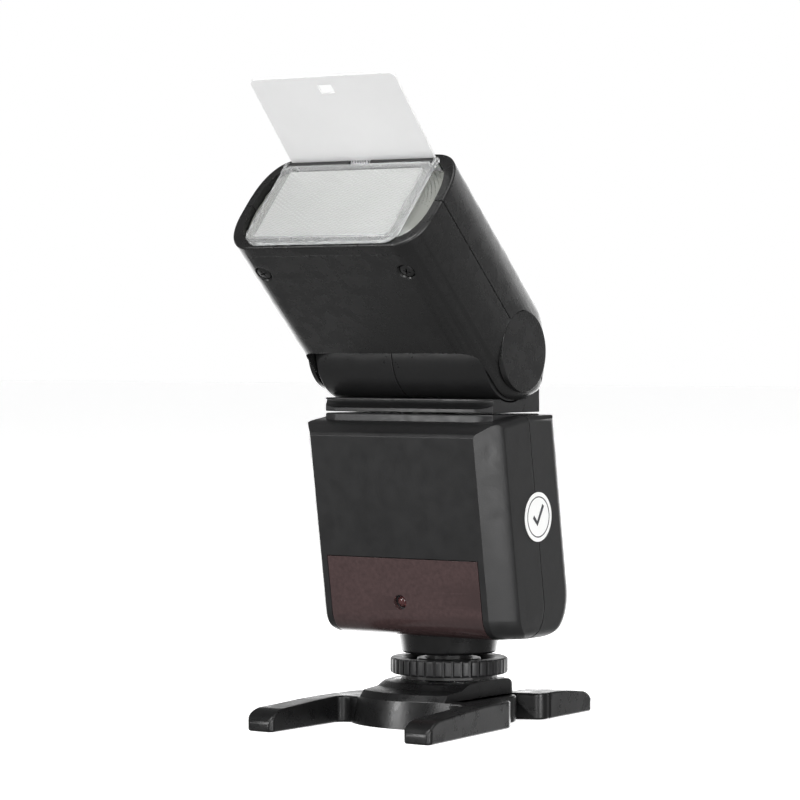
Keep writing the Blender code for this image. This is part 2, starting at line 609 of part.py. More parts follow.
def head_shells(tilt, card, plastic, metal):
    bottom = head_casing("head_bottom_shell", tilt, card, plastic)
    cut(bottom, "above_seam", box((-40.0, 40.0), (HEAD_SEAM - GAP / 2, 40.0), (-30.0, 70.0)), tilt)
    top = head_casing("head_top_shell", tilt, card, plastic)
    cut(top, "below_seam", box((-40.0, 40.0), (-40.0, HEAD_SEAM + GAP / 2), (-30.0, 70.0)), tilt)
    for side, name in ((-1, "left"), (1, "right")):
        centre = (side * 22.35, 44.15)
        cut(bottom, "screw_" + name, cylinder(2.3, -20.0, -12.7, "Y", centre, 20), tilt)
        screw = turned([(1.9, -13.55), (1.9, -13.35), (1.2, -12.95)], "Y", centre, 20)
        screw = make("head_screw_" + name, screw, metal, tilt, (centre[0], -13.3, centre[1]))
        for wide, tall in ((1.2, 0.2), (0.2, 1.2)):
            tool = box((centre[0] - wide, centre[0] + wide), (-14.0, -13.2), (centre[1] - tall, centre[1] + tall))
            cut(screw, "cross_%s_%.1f" % (name, wide), tool, tilt)
        cap = sorted((side * 29.6, side * 31.0))
        make("tilt_cap_" + name, cylinder(10.6, cap[0], cap[1], "X", count=40), plastic, tilt)


def optics(tilt, clear, chrome, glass):
    lens = make("fresnel_lens", head_solid(2.4, 49.2, 50.7), clear, tilt)
    weld(lens, "raised_field", head_solid(RIM + GAP, 50.0, 52.5), tilt)
    cut(lens, "card_side", box((-23.5, 23.5), (14.3, 30.0), (40.0, 60.0)), tilt)

    outer = [(-8.6, 42.0), (-6.0, 34.0), (-2.0, 29.6), (1.5, 28.6), (5.0, 29.6), (9.0, 34.0), (11.6, 42.0)]
    inner = [(10.7, 42.5), (8.1, 34.6), (4.4, 30.8), (1.5, 30.0), (-1.4, 30.8), (-5.1, 34.6), (-7.7, 42.5)]
    bowl = make("reflector", prism(outer, -19.6, 19.6, "X"), chrome, tilt)
    cut(bowl, "bowl", prism(inner, -18.6, 18.6, "X"), tilt)
    cut(bowl, "tube_holes", cylinder(2.1, -30.0, 30.0, "X", (1.5, 34.0), 16), tilt)
    make("flash_tube", cylinder(1.6, -23.0, 23.0, "X", (1.5, 34.0), 16), glass, tilt)


def zoom_drive(tilt, plastic, metal):
    carriage = make("zoom_carriage", box((-20.6, 20.6), (-10.8, -9.2), (26.5, 41.0)), plastic, tilt)
    for side, name in ((-1, "left"), (1, "right")):
        lug = sorted((side * 20.0, side * 25.9))
        weld(carriage, "lug_" + name, box(lug, (-9.7, -5.4), (32.0, 36.0)), tilt)
        cut(carriage, "lug_bore_" + name, cylinder(1.5, 30.0, 38.0, centre=(side * 24.0, -7.6), count=16), tilt)
    make("zoom_guide_rod", cylinder(1.1, 16.0, 48.6, centre=(24.0, -7.6), count=14), metal, tilt)
    screw = cylinder(1.1, 23.2, 48.6, centre=(-24.0, -7.6), count=14)
    make("zoom_screw", screw, metal, tilt, (-24.0, -7.6, 36.0))
    motor = turned([(3.2, 15.6), (3.4, 16.0), (3.4, 22.4), (3.2, 22.8)], centre=(-23.6, -6.9), count=20)
    make("zoom_motor", motor, metal, tilt)


def card_and_panel(tilt, card, white, clear, metal, dark):
    """The card's frame has its origin in the slot: y across the card's thickness, z along it."""
    low, tip = -7.5, CARD_LENGTH - 7.5
    plan = [(-CARD_WIDTH / 2, low), (CARD_WIDTH / 2, low)]
    plan += arc((CARD_WIDTH / 2 - 1.6, tip - 1.6), 1.6, 0, 90, 3)
    plan += arc((1.6 - CARD_WIDTH / 2, tip - 1.6), 1.6, 90, 180, 3)
    piece = make("bounce_card", prism(plan, -CARD_THICK / 2, CARD_THICK / 2, "Y"), white, card)
    cut(piece, "pull_hole", box((-1.8, 1.8), (-2.0, 2.0), (tip - 5.6, tip - 2.6)), card)
    make("panel_slider", box((-20.4, 20.4), (-1.35, -0.85), (-15.0, -0.3)), dark, card)

    hinge_v, hinge_u = 15.15, 54.85
    panel = prism(rounded(23.6, 13.9, 1.6, 3, (0.0, 0.4)), 54.25, 55.45)
    panel = make("wide_panel", panel, clear, tilt, (0.0, hinge_v, hinge_u))
    for side, name in ((-1, "left"), (1, "right")):
        ends = sorted((side * 22.9, side * 23.9))
        knuckle = cylinder(0.8, ends[0], ends[1], "X", (hinge_v, hinge_u), 16)
        weld(panel, "knuckle_" + name, knuckle, tilt)
        arm = box((ends[0], ends[1]), (12.0, hinge_v), (54.25, 55.45))
        weld(panel, "arm_" + name, arm, tilt)
        pin = sorted((side * 3.3, side * 22.6))
        make("panel_pin_" + name, cylinder(0.6, pin[0], pin[1], "X", (hinge_v, hinge_u), 14), dark, tilt)
    turns, half = 7, 3.0
    ridges = []
    for i in range(2 * turns + 1):
        ridges.append((0.8 if i % 2 else 0.6, -half + 2 * half * i / (2 * turns)))
    make("panel_spring", turned(ridges, "X", (hinge_v, hinge_u), 12), metal, tilt)


# ---------------------------------------------------------------- assembly

def build():
    clear_scene()
    black = material("matte_black_plastic", (0.035, 0.035, 0.036), 0.55)
    stand = material("satin_black_plastic", (0.018, 0.018, 0.019), 0.42)
    rubber = material("dark_rubber", (0.03, 0.03, 0.03), 0.75)
    red = material("red_window", (0.09, 0.02, 0.02), 0.12, alpha=0.9)
    clear = material("clear_plastic", (0.9, 0.92, 0.92), 0.08, alpha=0.35)
    white = material("white_card", (0.9, 0.9, 0.9), 0.45)
    steel = material("steel", (0.55, 0.55, 0.56), 0.3, 1.0)
    blackened = material("blackened_steel", (0.06, 0.06, 0.06), 0.4, 0.8)
    brass = material("brass", (0.75, 0.58, 0.28), 0.3, 1.0)
    chrome = material("mirror_finish", (0.9, 0.9, 0.88), 0.08, 1.0)
    board = material("board_green", (0.02, 0.18, 0.08), 0.5)
    wrap = material("cell_wrap", (0.1, 0.12, 0.15), 0.35)
    paper = material("white_label", (0.88, 0.88, 0.87), 0.6)

    root = empty("shoe_axis", (0.0, ORIGIN_Y, 0.0))
    lean = empty("leaning_frame", (0.0, 0.0, LEAN_Z), root, LEAN)
    pan = empty("pan_axis", (0.0, PAN_Y, 0.0), root)
    pivot = empty("tilt_pivot", (0.0, PIVOT_Y, PIVOT_Z), root)
    tilt = empty("tilt_axis", (0.0, 0.0, 0.0), pivot, math.pi / 2 - HEAD_TILT)
    card = empty("card_slot", (0.0, 16.4, 54.0), tilt, -CARD_SLOPE)

    mini_stand(root, stand, steel, brass)
    foot(root, blackened, stand, brass)
    lock_ring(root, stand, steel)
    rear = shells(root, lean, black)
    window(root, lean, red, clear)
    battery_parts(root, lean, black, steel, wrap, board)
    rear_panel(rear, lean, black, rubber, clear, steel)
    side_port(rear, lean, rubber, steel)
    sticker = cylinder(6.5, HALF_WIDTH + 0.1, HALF_WIDTH + 0.25, "X", (-3.6, 7.4), 32)
    make("inspection_sticker", sticker, paper, lean)
    neck(pan, pivot, black, steel)
    head_shells(tilt, card, black, blackened)
    optics(tilt, clear, chrome, clear)
    zoom_drive(tilt, stand, steel)
    card_and_panel(tilt, card, white, clear, steel, blackened)


build()
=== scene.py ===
"""Looks for the speedlight flash on its mini stand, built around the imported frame.

Shapes are drawn in millimetres in the frame of the assembly they belong to (shoe axis, leaning body, tilting
head, card slot) and are then placed in the row frame, in metres.
"""
import json
import math

import bmesh
import bpy
from mathutils import Matrix, Vector


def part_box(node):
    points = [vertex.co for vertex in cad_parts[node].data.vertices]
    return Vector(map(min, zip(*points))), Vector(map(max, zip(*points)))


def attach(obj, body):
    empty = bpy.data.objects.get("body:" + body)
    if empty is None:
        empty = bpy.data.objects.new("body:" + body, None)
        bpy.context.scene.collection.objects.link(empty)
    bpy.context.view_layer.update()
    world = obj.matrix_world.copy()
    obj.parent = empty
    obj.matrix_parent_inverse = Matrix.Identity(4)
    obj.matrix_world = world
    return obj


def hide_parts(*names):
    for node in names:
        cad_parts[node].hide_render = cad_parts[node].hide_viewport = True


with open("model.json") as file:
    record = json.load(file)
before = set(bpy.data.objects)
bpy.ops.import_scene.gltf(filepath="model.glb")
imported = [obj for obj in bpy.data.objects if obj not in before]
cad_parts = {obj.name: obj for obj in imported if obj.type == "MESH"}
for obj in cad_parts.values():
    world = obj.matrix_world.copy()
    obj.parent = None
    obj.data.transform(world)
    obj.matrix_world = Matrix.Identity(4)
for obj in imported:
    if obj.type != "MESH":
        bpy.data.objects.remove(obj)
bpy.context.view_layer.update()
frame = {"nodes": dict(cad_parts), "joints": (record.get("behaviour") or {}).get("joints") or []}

MM = 0.001
JOINTS = {joint["name"]: joint for joint in frame["joints"]}

# camera and stage
CAMERA_AZIMUTH = math.radians(34.49)
CAMERA_DISTANCE = 887.8
CAMERA_RISE = 15.4
CAMERA_AIM = (-10.83, -7.44, 85.65)      # from the shoe axis
CAMERA_LENS = 149.2
SENSOR = 36.0
# strength of the surroundings as a light
WORLD_FRONT, WORLD_BACK, WORLD_ABOVE, WORLD_BELOW = 0.3, 3.0, 0.15, 0.0
# name, size in metres, power in watts, place in millimetres
LIGHTS = (
    ("top_right", (0.8, 0.8), 5.0, (400.0, 100.0, 1200.0)),
    ("right_soft", (0.35, 0.7), 7.0, (920.0, -330.0, 190.0)),
    ("front_high", (0.7, 0.5), 9.0, (-100.0, -800.0, 900.0)),
    ("front_left", (0.22, 0.2), 2.6, (-450.0, -860.0, 150.0)),
    ("front_low", (0.35, 0.45), 3.5, (520.0, -860.0, 160.0)),
)
LIGHT_AIM = (0.0, 0.0, 90.0)

# casings
WALL = 2.0
GAP = 0.3
BODY_FRONT, BODY_REAR = -23.4, 11.5
FRONT_EDGE_Z = 76.45
SEAM_Y, SEAM_ARC = -4.2, 9.0
WINDOW_HALF, WINDOW_TOP = 23.8, -0.8     # the top is in the leaning frame
SENSOR_AT = (-1.6, -12.6)
STRIP = (5.2, 7.2)                       # strip between the front face and the flat side
SHOULDER = ((16.9, 5.35), (15.4, 5.3), (12.6, 4.85), (9.8, 4.4),
            (7.6, 4.12), (5.5, 3.75), (4.0, 3.25), (2.8, 2.55))
LOW_SIDE, LOW_FRONT, LOW_REAR = 2.6, 5.6, 12.5      # rounding of the body's lower edges
TOP_ROUND = 1.8
NECK_HALF, NECK_DEPTH = 26.6, 12.2
NECK_CORNER = (4.6, 1.9)
FLANGE_TOP, COVE = 86.4, 2.4
BARREL_SEAM = -2.1
BARREL_RADIUS = 13.0
HEAD_LENGTH, HEAD_BOTTOM, HEAD_TOP, HEAD_REAR = 53.9, -13.9, 18.8, 14.2
HEAD_SEAM = 1.5
RECESS_HALF, RECESS_END = 27.3, 14.2
RIM = 2.6
SEAM_WIDTH = 0.36                        # visible width of a closed shell seam
DOOR_Y, DOOR_Z = (-20.2, -5.6), (-17.6, 13.0)
BUTTON_AT = {"upper_left": (-20.5, 5.6), "upper_right": (20.5, 5.6),
             "lower_left": (-20.5, -2.6), "lower_right": (20.5, -2.6)}
DIAL_AT, TEST_AT, SWITCH_AT, PORT_AT = (0.0, -1.2), (20.5, -10.6), (-19.5, -10.6), (4.0, -1.0)
STICKER_AT = (-3.6, 7.4)
SCREW_X, SCREW_U = 22.35, 44.15
LENS_TOP = 14.3
PANEL_BACK, PANEL_FRONT = 54.25, 55.45
HINGE_V, HINGE_U = 15.15, 54.85
SIDES = ((-1, "left"), (1, "right"))

# stand
LEG_TOP = 7.1
FRONT_TIP, REAR_TIP = (-52.2, 20.4), (39.7, 12.6)
SHOE_HALF = 22.4 / 2
FAR = 40.0                               # beyond the object on either side


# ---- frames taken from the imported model

def millimetres(point):
    return Vector(point) / MM


def middle(node):
    low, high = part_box(node)
    return millimetres((low + high) / 2)


AXIS_Y = middle("lock_ring").y
HALF_WIDTH = millimetres(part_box("body_front_shell")[1]).x
PAN_Y = millimetres(JOINTS["neck_pan"]["pos_m"]).y - AXIS_Y
PIVOT = millimetres(JOINTS["head_tilt"]["pos_m"])
_face = Vector(JOINTS["select_dial_turn"]["axis"])
LEAN = math.atan2(_face.z, _face.y)
LEAN_SLOPE = math.tan(LEAN)
LEAN_Z = 48.7
_aim = Vector(JOINTS["zoom_slide"]["axis"])
TILT = math.atan2(-_aim.y, _aim.z)
_card = Vector(JOINTS["card_slide"]["axis"])
CARD_TURN = math.atan2(-_card.y, _card.z) - TILT

ROOT = Matrix.Translation((0.0, AXIS_Y, 0.0))
LEANING = ROOT @ Matrix.Translation((0.0, 0.0, LEAN_Z)) @ Matrix.Rotation(LEAN, 4, "X")
PIVOTED = Matrix.Translation(PIVOT)
HEAD = PIVOTED @ Matrix.Rotation(TILT, 4, "X")
CARD = HEAD @ Matrix.Translation((0.0, 16.4, 54.0)) @ Matrix.Rotation(CARD_TURN, 4, "X")
BODY_BOTTOM = millimetres(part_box("body_front_shell")[0]).z
BODY_TOP = 82.0
FACE = BODY_REAR * math.cos(LEAN)


# ---- shapes

def bridge(bm, rows):
    """Quads between each ring of vertices and the next."""
    for low, high in zip(rows, rows[1:]):
        for i in range(len(low)):
            j = (i + 1) % len(low)
            bm.faces.new((low[i], low[j], high[j], high[i]))


def mirrored(points):
    """An outline's right half, followed by its mirror image."""
    return points + [(-a, b) for a, b in reversed(points)]


def loft(rings):
    bm = bmesh.new()
    rows = [[bm.verts.new(p) for p in ring] for ring in rings]
    bridge(bm, rows)
    bm.faces.new(rows[0][::-1])
    bm.faces.new(rows[-1])
    return bm


def place(axis, a, b, along):
    if axis == "X":
        return (along, a, b)
    if axis == "Y":
        return (a, along, b)
    return (a, b, along)


def prism(outline, low, high, axis="Z"):
    return loft([[place(axis, a, b, level) for a, b in outline] for level in (low, high)])


def through(outline, axis="X"):
    """A prism that reaches past the object on both sides."""
    return prism(outline, -FAR, FAR, axis)


def box(x, y, z):
    return prism([(x[0], y[0]), (x[1], y[0]), (x[1], y[1]), (x[0], y[1])], z[0], z[1])


def circle(radius, count, centre=(0.0, 0.0)):
    steps = [2 * math.pi * (i + 0.5) / count for i in range(count)]
    return [(centre[0] + radius * math.cos(t), centre[1] + radius * math.sin(t)) for t in steps]


def cylinder(radius, low, high, axis="Z", centre=(0.0, 0.0), count=64):
    return prism(circle(radius, count, centre), low, high, axis)


def turned(profile, axis="Z", centre=(0.0, 0.0), count=96):
    rings = []
    for radius, level in profile:
        rings.append([place(axis, a, b, level) for a, b in circle(radius, count, centre)])
    return loft(rings)


def tube(profile, axis="Z", centre=(0.0, 0.0), count=96):
    bm = bmesh.new()
    rows = []
    for radius, level in profile:
        rows.append([bm.verts.new(place(axis, a, b, level)) for a, b in circle(radius, count, centre)])
    bridge(bm, rows + rows[:1])
    return bm


def arc(centre, radius, start, end, steps):
    rx, ry = radius if isinstance(radius, tuple) else (radius, radius)
    points = []
    for i in range(steps + 1):
        t = math.radians(start + (end - start) * i / steps)
        points.append((centre[0] + rx * math.cos(t), centre[1] + ry * math.sin(t)))
    return points


def rounded(half_a, half_b, radius, steps=8, centre=(0.0, 0.0)):
    points = []
    for k, (sa, sb) in enumerate(((1, 1), (-1, 1), (-1, -1), (1, -1))):
        corner = (centre[0] + sa * (half_a - radius), centre[1] + sb * (half_b - radius))
        points += arc(corner, radius, 90 * k, 90 * k + 90, steps)
    return points


def cushion(outline, low, high, axis, edge):
    """A prism whose upper edge is rounded over: outline(inset) gives the section."""
    rings = [[place(axis, a, b, low) for a, b in outline(0.0)]]
    sign = 1.0 if high > low else -1.0
    for a in (0.0, 22.5, 45.0, 67.5, 90.0):
        t = math.radians(a)
        level = high - sign * edge * (1.0 - math.sin(t))
        rings.append([place(axis, a, b, level) for a, b in outline(edge * (1.0 - math.cos(t)))])
    return loft(rings)


# ---- objects

def solid(name, bm, matrix):
    """An object in the row frame from a bmesh in millimetres."""
    bmesh.ops.remove_doubles(bm, verts=bm.verts, dist=1e-5)
    bmesh.ops.recalc_face_normals(bm, faces=bm.faces)
    bm.transform(Matrix.Scale(MM, 4) @ matrix)
    mesh = bpy.data.meshes.new(name)
    bm.to_mesh(mesh)
    bm.free()
    obj = bpy.data.objects.new(name, mesh)
    bpy.context.scene.collection.objects.link(obj)
    return obj


def bake(obj):
    """Apply an object's modifiers to its mesh."""
    deps = bpy.context.evaluated_depsgraph_get()
    mesh = bpy.data.meshes.new_from_object(obj.evaluated_get(deps))
    old = obj.data
    obj.modifiers.clear()
    obj.data = mesh
    bpy.data.meshes.remove(old)


def combine(obj, steps):
    """Run Boolean steps, given as (operation, object), one after the other, and remove the tools."""
    for operation, tool in steps:
        mod = obj.modifiers.new("step", "BOOLEAN")
        mod.operation = operation
        mod.object = tool
        mod.solver = "EXACT"
    bake(obj)
    for _, tool in steps:
        bpy.data.objects.remove(tool, do_unlink=True)


def tool(bm, matrix):
    return solid("tool", bm, matrix)


def cuts(matrix, *shapes):
    """Boolean steps that take each shape away."""
    return [("DIFFERENCE", tool(bm, matrix)) for bm in shapes]


def soften(obj, width, segments=3, angle=32.0, flat=0.03, clamp=True):
    """Round every crisp edge."""
    bm = bmesh.new()
    bm.from_mesh(obj.data)
    bmesh.ops.remove_doubles(bm, verts=bm.verts, dist=2e-6)
    bmesh.ops.dissolve_degenerate(bm, edges=bm.edges, dist=2e-6)
    bmesh.ops.dissolve_limit(bm, angle_limit=math.radians(flat), verts=bm.verts, edges=bm.edges)
    bm.to_mesh(obj.data)
    bm.free()
    mod = obj.modifiers.new("edges", "BEVEL")
    mod.width = width * MM
    mod.segments = segments
    mod.limit_method = "ANGLE"
    mod.angle_limit = math.radians(angle)
    mod.use_clamp_overlap = clamp
    mod.miter_outer = "MITER_SHARP"
    bake(obj)


def finish_piece(obj, material, body, nodes=(), sharp=38.0):
    """Shade, give a material, ride and stand in for CAD nodes."""
    obj.data.materials.clear()
    obj.data.materials.append(MATS[material])
    obj.data.shade_smooth()
    obj.data.set_sharp_from_angle(angle=math.radians(sharp))
    flats = obj.modifiers.new("flats", "WEIGHTED_NORMAL")
    flats.weight = 90
    flats.keep_sharp = True
    bake(obj)
    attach(obj, body)
    if nodes:
        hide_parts(*nodes)
    return obj


# ---- materials

class Maker:
    """Adds nodes to a material's tree."""

    def __init__(self, name):
        self.mat = bpy.data.materials.new(name)
        self.mat.use_nodes = True
        self.tree = self.mat.node_tree
        self.shader = self.tree.nodes["Principled BSDF"]
        self.place = self.add("ShaderNodeTexCoord").outputs["Object"]

    def add(self, kind, **values):
        node = self.tree.nodes.new(kind)
        for key, value in values.items():
            setattr(node, key, value)
        return node

    def link(self, output, target):
        self.tree.links.new(output, target)

    def noise(self, scale, detail=2.0, rough=0.5):
        node = self.add("ShaderNodeTexNoise")
        node.inputs["Scale"].default_value = scale
        node.inputs["Detail"].default_value = detail
        node.inputs["Roughness"].default_value = rough
        self.link(self.place, node.inputs["Vector"])
        return node.outputs["Fac"]

    def spread(self, source, low, high, start=0.3, end=0.7):
        node = self.add("ShaderNodeMapRange")
        node.inputs["From Min"].default_value = start
        node.inputs["From Max"].default_value = end
        node.inputs["To Min"].default_value = low
        node.inputs["To Max"].default_value = high
        self.link(source, node.inputs["Value"])
        return node.outputs["Result"]

    def mix(self, factor, first, second):
        node = self.add("ShaderNodeMix", data_type="RGBA")
        self.link(factor, node.inputs["Factor"])
        for socket, value in ((node.inputs[6], first), (node.inputs[7], second)):
            if isinstance(value, tuple):
                socket.default_value = (*value, 1.0)
            else:
                self.link(value, socket)
        return node.outputs[2]

    def bump(self, height, strength, distance, normal=None):
        node = self.add("ShaderNodeBump")
        node.inputs["Strength"].default_value = strength
        node.inputs["Distance"].default_value = distance
        self.link(height, node.inputs["Height"])
        if normal is not None:
            self.link(normal, node.inputs["Normal"])
        return node.outputs["Normal"]

    def edge_normal(self, radius):
        node = self.add("ShaderNodeBevel", samples=4)
        node.inputs["Radius"].default_value = radius
        return node.outputs["Normal"]

    def wear(self, amount):
        """A mask along convex edges, broken up by noise."""
        point = self.add("ShaderNodeNewGeometry").outputs["Pointiness"]
        edges = self.spread(point, 0.0, amount, 0.52, 0.60)
        broken = self.spread(self.noise(900.0, 3.0), 0.2, 1.0)
        node = self.add("ShaderNodeMath", operation="MULTIPLY")
        self.link(edges, node.inputs[0])
        self.link(broken, node.inputs[1])
        return node.outputs[0]


def scaled(colour, factor):
    return tuple(min(c * factor, 1.0) for c in colour)


def moulded(name, colour, rough, grain=2600.0, grain_depth=0.25, wear=0.35, coat=0.0, spread=0.07):
    """Moulded plastic or painted metal: fine grain, slight mottling, polished edges."""
    m = Maker(name)
    cloud = m.noise(55.0, 3.0)
    base = m.mix(m.spread(cloud, 0.0, 1.0), scaled(colour, 0.92), scaled(colour, 1.08))
    base = m.mix(m.wear(wear), base, scaled(colour, 2.4))
    m.link(base, m.shader.inputs["Base Color"])
    m.link(m.spread(m.noise(260.0, 4.0), rough - spread, rough + spread), m.shader.inputs["Roughness"])
    normal = m.edge_normal(0.12 * MM)
    normal = m.bump(m.noise(grain, 2.0, 0.6), grain_depth, 0.00006, normal)
    m.link(normal, m.shader.inputs["Normal"])
    m.shader.inputs["Coat Weight"].default_value = coat
    m.shader.inputs["Coat Roughness"].default_value = 0.12
    m.shader.inputs["Specular IOR Level"].default_value = 0.4
    return m.mat


def metal(name, colour, rough):
    """Metal with fine random scratches and tarnish."""
    m = Maker(name)
    base = m.mix(m.spread(m.noise(120.0, 4.0), 0.0, 1.0), scaled(colour, 0.82), scaled(colour, 1.06))
    m.link(base, m.shader.inputs["Base Color"])
    m.link(m.spread(m.noise(700.0, 5.0, 0.7), rough * 0.7, rough * 1.4), m.shader.inputs["Roughness"])
    normal = m.bump(m.noise(2100.0, 2.0), 0.15, 0.00003, m.edge_normal(0.1 * MM))
    m.link(normal, m.shader.inputs["Normal"])
    m.shader.inputs["Metallic"].default_value = 1.0
    return m.mat


def paper(name, colour, glow):
    """White paper that glows slightly, so that it looks evenly lit."""
    m = Maker(name)
    base = m.mix(m.spread(m.noise(8.0, 4.0), 0.0, 1.0), scaled(colour, 0.98), colour)
    m.link(base, m.shader.inputs["Base Color"])
    m.link(m.spread(m.noise(90.0, 3.0), 0.7, 0.85), m.shader.inputs["Roughness"])
    m.link(base, m.shader.inputs["Emission Color"])
    m.shader.inputs["Emission Strength"].default_value = glow
    return m.mat


def transparent(name, colour, rough, transmission, haze=0.03, depth=0.05):
    """Clear or translucent plastic with faint moulding waves."""
    m = Maker(name)
    base = m.mix(m.spread(m.noise(90.0, 2.0), 0.0, 1.0), scaled(colour, 0.97), colour)
    m.link(base, m.shader.inputs["Base Color"])
    m.link(m.spread(m.noise(500.0, 3.0), rough, rough + haze), m.shader.inputs["Roughness"])
    m.link(m.bump(m.noise(200.0, 2.0), depth, 0.00005), m.shader.inputs["Normal"])
    m.shader.inputs["Transmission Weight"].default_value = transmission
    m.shader.inputs["IOR"].default_value = 1.49
    return m.mat


def make_materials():
    return {
        "body": moulded("body_plastic", (0.0115, 0.0115, 0.0118), 0.36),
        "head": moulded("head_plastic", (0.0105, 0.0105, 0.0105), 0.27),
        "neck": moulded("neck_plastic", (0.012, 0.012, 0.0123), 0.34),
        "stand": moulded("stand_plastic", (0.005, 0.005, 0.0052), 0.3, grain=1900.0, grain_depth=0.35),
        "ring": moulded("ring_plastic", (0.012, 0.012, 0.0125), 0.38, grain=2200.0),
        "inner": moulded("inner_plastic", (0.03, 0.03, 0.032), 0.5),
        "rubber": moulded("button_rubber", (0.028, 0.028, 0.029), 0.62, grain=3200.0, grain_depth=0.35),
        "blackened": moulded("blackened_metal", (0.012, 0.012, 0.012), 0.36, grain=1200.0, wear=0.6),
        "board": moulded("solder_mask", (0.02, 0.14, 0.06), 0.35, grain=600.0),
        "wrap": moulded("cell_sleeve", (0.08, 0.1, 0.14), 0.3, grain=500.0, grain_depth=0.1),
        "print": moulded("white_print", (0.82, 0.82, 0.81), 0.5, grain=2500.0, wear=0.0),
        "label": moulded("label_paper", (0.88, 0.88, 0.87), 0.55, grain=1400.0, grain_depth=0.3, wear=0.0),
        "ink": moulded("label_ink", (0.05, 0.05, 0.055), 0.5, grain=1500.0, wear=0.0),
        "red": moulded("window_red", (0.04, 0.024, 0.024), 0.2, grain=300.0, grain_depth=0.01, coat=0.25,
                       spread=0.004),
        "lens": transparent("sensor_glass", (0.16, 0.06, 0.06), 0.05, 0.6),
        "fresnel": transparent("fresnel_plastic", (0.4, 0.41, 0.38), 0.1, 0.35),
        "diamonds": transparent("diamond_plastic", (0.78, 0.79, 0.78), 0.2, 0.6),
        "clear": transparent("panel_plastic", (0.95, 0.96, 0.96), 0.07, 0.86, depth=0.012),
        "card": transparent("card_plastic", (0.88, 0.88, 0.88), 0.4, 0.25, haze=0.08),
        "tube": transparent("tube_glass", (0.95, 0.96, 0.97), 0.04, 0.9),
        "display": moulded("display_glass", (0.012, 0.013, 0.014), 0.1, grain=200.0, grain_depth=0.02,
                           coat=1.0, spread=0.02),
        "screen": moulded("display_field", (0.2, 0.23, 0.2), 0.22, grain=400.0, grain_depth=0.03, wear=0.0,
                          coat=0.8),
        "steel": metal("bright_steel", (0.62, 0.62, 0.63), 0.28),
        "brass": metal("brass_metal", (0.75, 0.56, 0.26), 0.3),
        "floor": paper("floor_paper", (0.95, 0.95, 0.95), 0.8),
        "mirror": metal("reflector_metal", (0.92, 0.92, 0.9), 0.12),
        # white plate round the lamp mouth that stands in for the bright reflector's mirror reflection: a
        # painted reflection
        "painted_reflection": moulded("painted_reflection_plate", (0.85, 0.85, 0.83), 0.3, grain=800.0, wear=0.0),
    }


MATS = make_materials()


# ---- body

def round_off(level, radius):
    if level >= radius:
        return 0.0
    return radius - math.sqrt(max(radius ** 2 - (radius - level) ** 2, 0.0))


def side_strip(half, front, size, steps):
    """The narrow curved face between the front and the flat side: a quadratic curve from its crease."""
    wide, deep = STRIP[0] * size, STRIP[1] * size
    points = []
    for i in range(steps + 1):
        t = i / steps
        x = half - wide * ((1.0 - t) ** 2 + 2.0 * t * (1.0 - t) * 0.1)
        y = front + deep * (t ** 2 + 2.0 * t * (1.0 - t) * 0.75)
        points.append((x, y))
    return points


def body_outline(z, inset, steps=12):
    level = max(z - BODY_BOTTOM - inset, 0.0)
    half = HALF_WIDTH - inset - round_off(level, LOW_SIDE)
    front = BODY_FRONT + inset + round_off(level, LOW_FRONT - 0.5 * inset)
    rear = BODY_REAR - inset - round_off(level, LOW_REAR - 0.5 * inset)
    back = (5.5 - 0.8 * inset, 5.0 - 0.8 * inset)
    points = side_strip(half, front, 1.0 - 0.12 * inset, steps)
    points = mirrored(points + arc((half - back[0], rear - back[1]), back, 0, 90, steps))
    shift = LEAN_SLOPE * (z - LEAN_Z)
    return [(x, y - shift, z) for x, y in points]


def body_solid(inset, steps=12):
    low = BODY_BOTTOM + inset
    rises = [LOW_FRONT * (1 - math.cos(math.radians(9.0 * i))) for i in range(11)]
    rises += [7.2, 9.0, 10.8, LOW_REAR]
    heights = [low + h for h in rises] + [50.0, BODY_TOP + 4.0]
    return loft([body_outline(z, inset, steps) for z in heights])


def body_side_profile(inset):
    top = BODY_TOP - inset
    front_z = FRONT_EDGE_Z - 1.08 * inset
    front = BODY_FRONT - LEAN_SLOPE * (FRONT_EDGE_Z - LEAN_Z)
    seam = SEAM_Y - LEAN_SLOPE * (BODY_TOP - LEAN_Z)
    slope = [(front + y, min(front_z + z, top - 0.12)) for y, z in SHOULDER]
    lip = arc((front + 1.75, front_z - 0.3), 1.75, 125, 178, 7)
    outside = [(-60.0, 0.0), (60.0, 0.0), (60.0, top), (seam + 0.6, top)]
    return outside + slope + lip + [(front - 10.0, front_z - 4.6)]


def top_form(inset, radius):
    """What lies under the sloped top, whose edges along the sides are rounded."""
    rings = []
    for a in range(90, -1, -15):
        t = math.radians(a)
        x = HALF_WIDTH - inset - radius * (1.0 - math.sin(t))
        rings.append((x, inset + radius * (1.0 - math.cos(t))))
    rings = [(FAR, rings[0][1])] + rings
    rings = [(-x, drop) for x, drop in rings] + rings[::-1]
    return loft([[(x, y, z) for y, z in body_side_profile(drop)] for x, drop in rings])


def front_region(grow):
    low_z, high_z = 32.0, 100.0
    points = [(-60.0, high_z), (SEAM_Y - LEAN_SLOPE * (high_z - LEAN_Z) + grow, high_z)]
    seam = SEAM_Y - LEAN_SLOPE * (low_z - LEAN_Z)
    points += arc((seam - SEAM_ARC, low_z), SEAM_ARC + grow, 0, -90, 14)
    return points + [(-60.0, low_z - SEAM_ARC - grow)]


def neck_outline(shrink=0.0):
    half, rear, front = NECK_HALF - shrink, PAN_Y + NECK_DEPTH - shrink, PAN_Y - NECK_DEPTH + shrink
    wide, deep = NECK_CORNER
    return [(half, rear), (-half, rear), (-half, front + deep), (wide - half, front),
            (half - wide, front), (half, front + deep)]


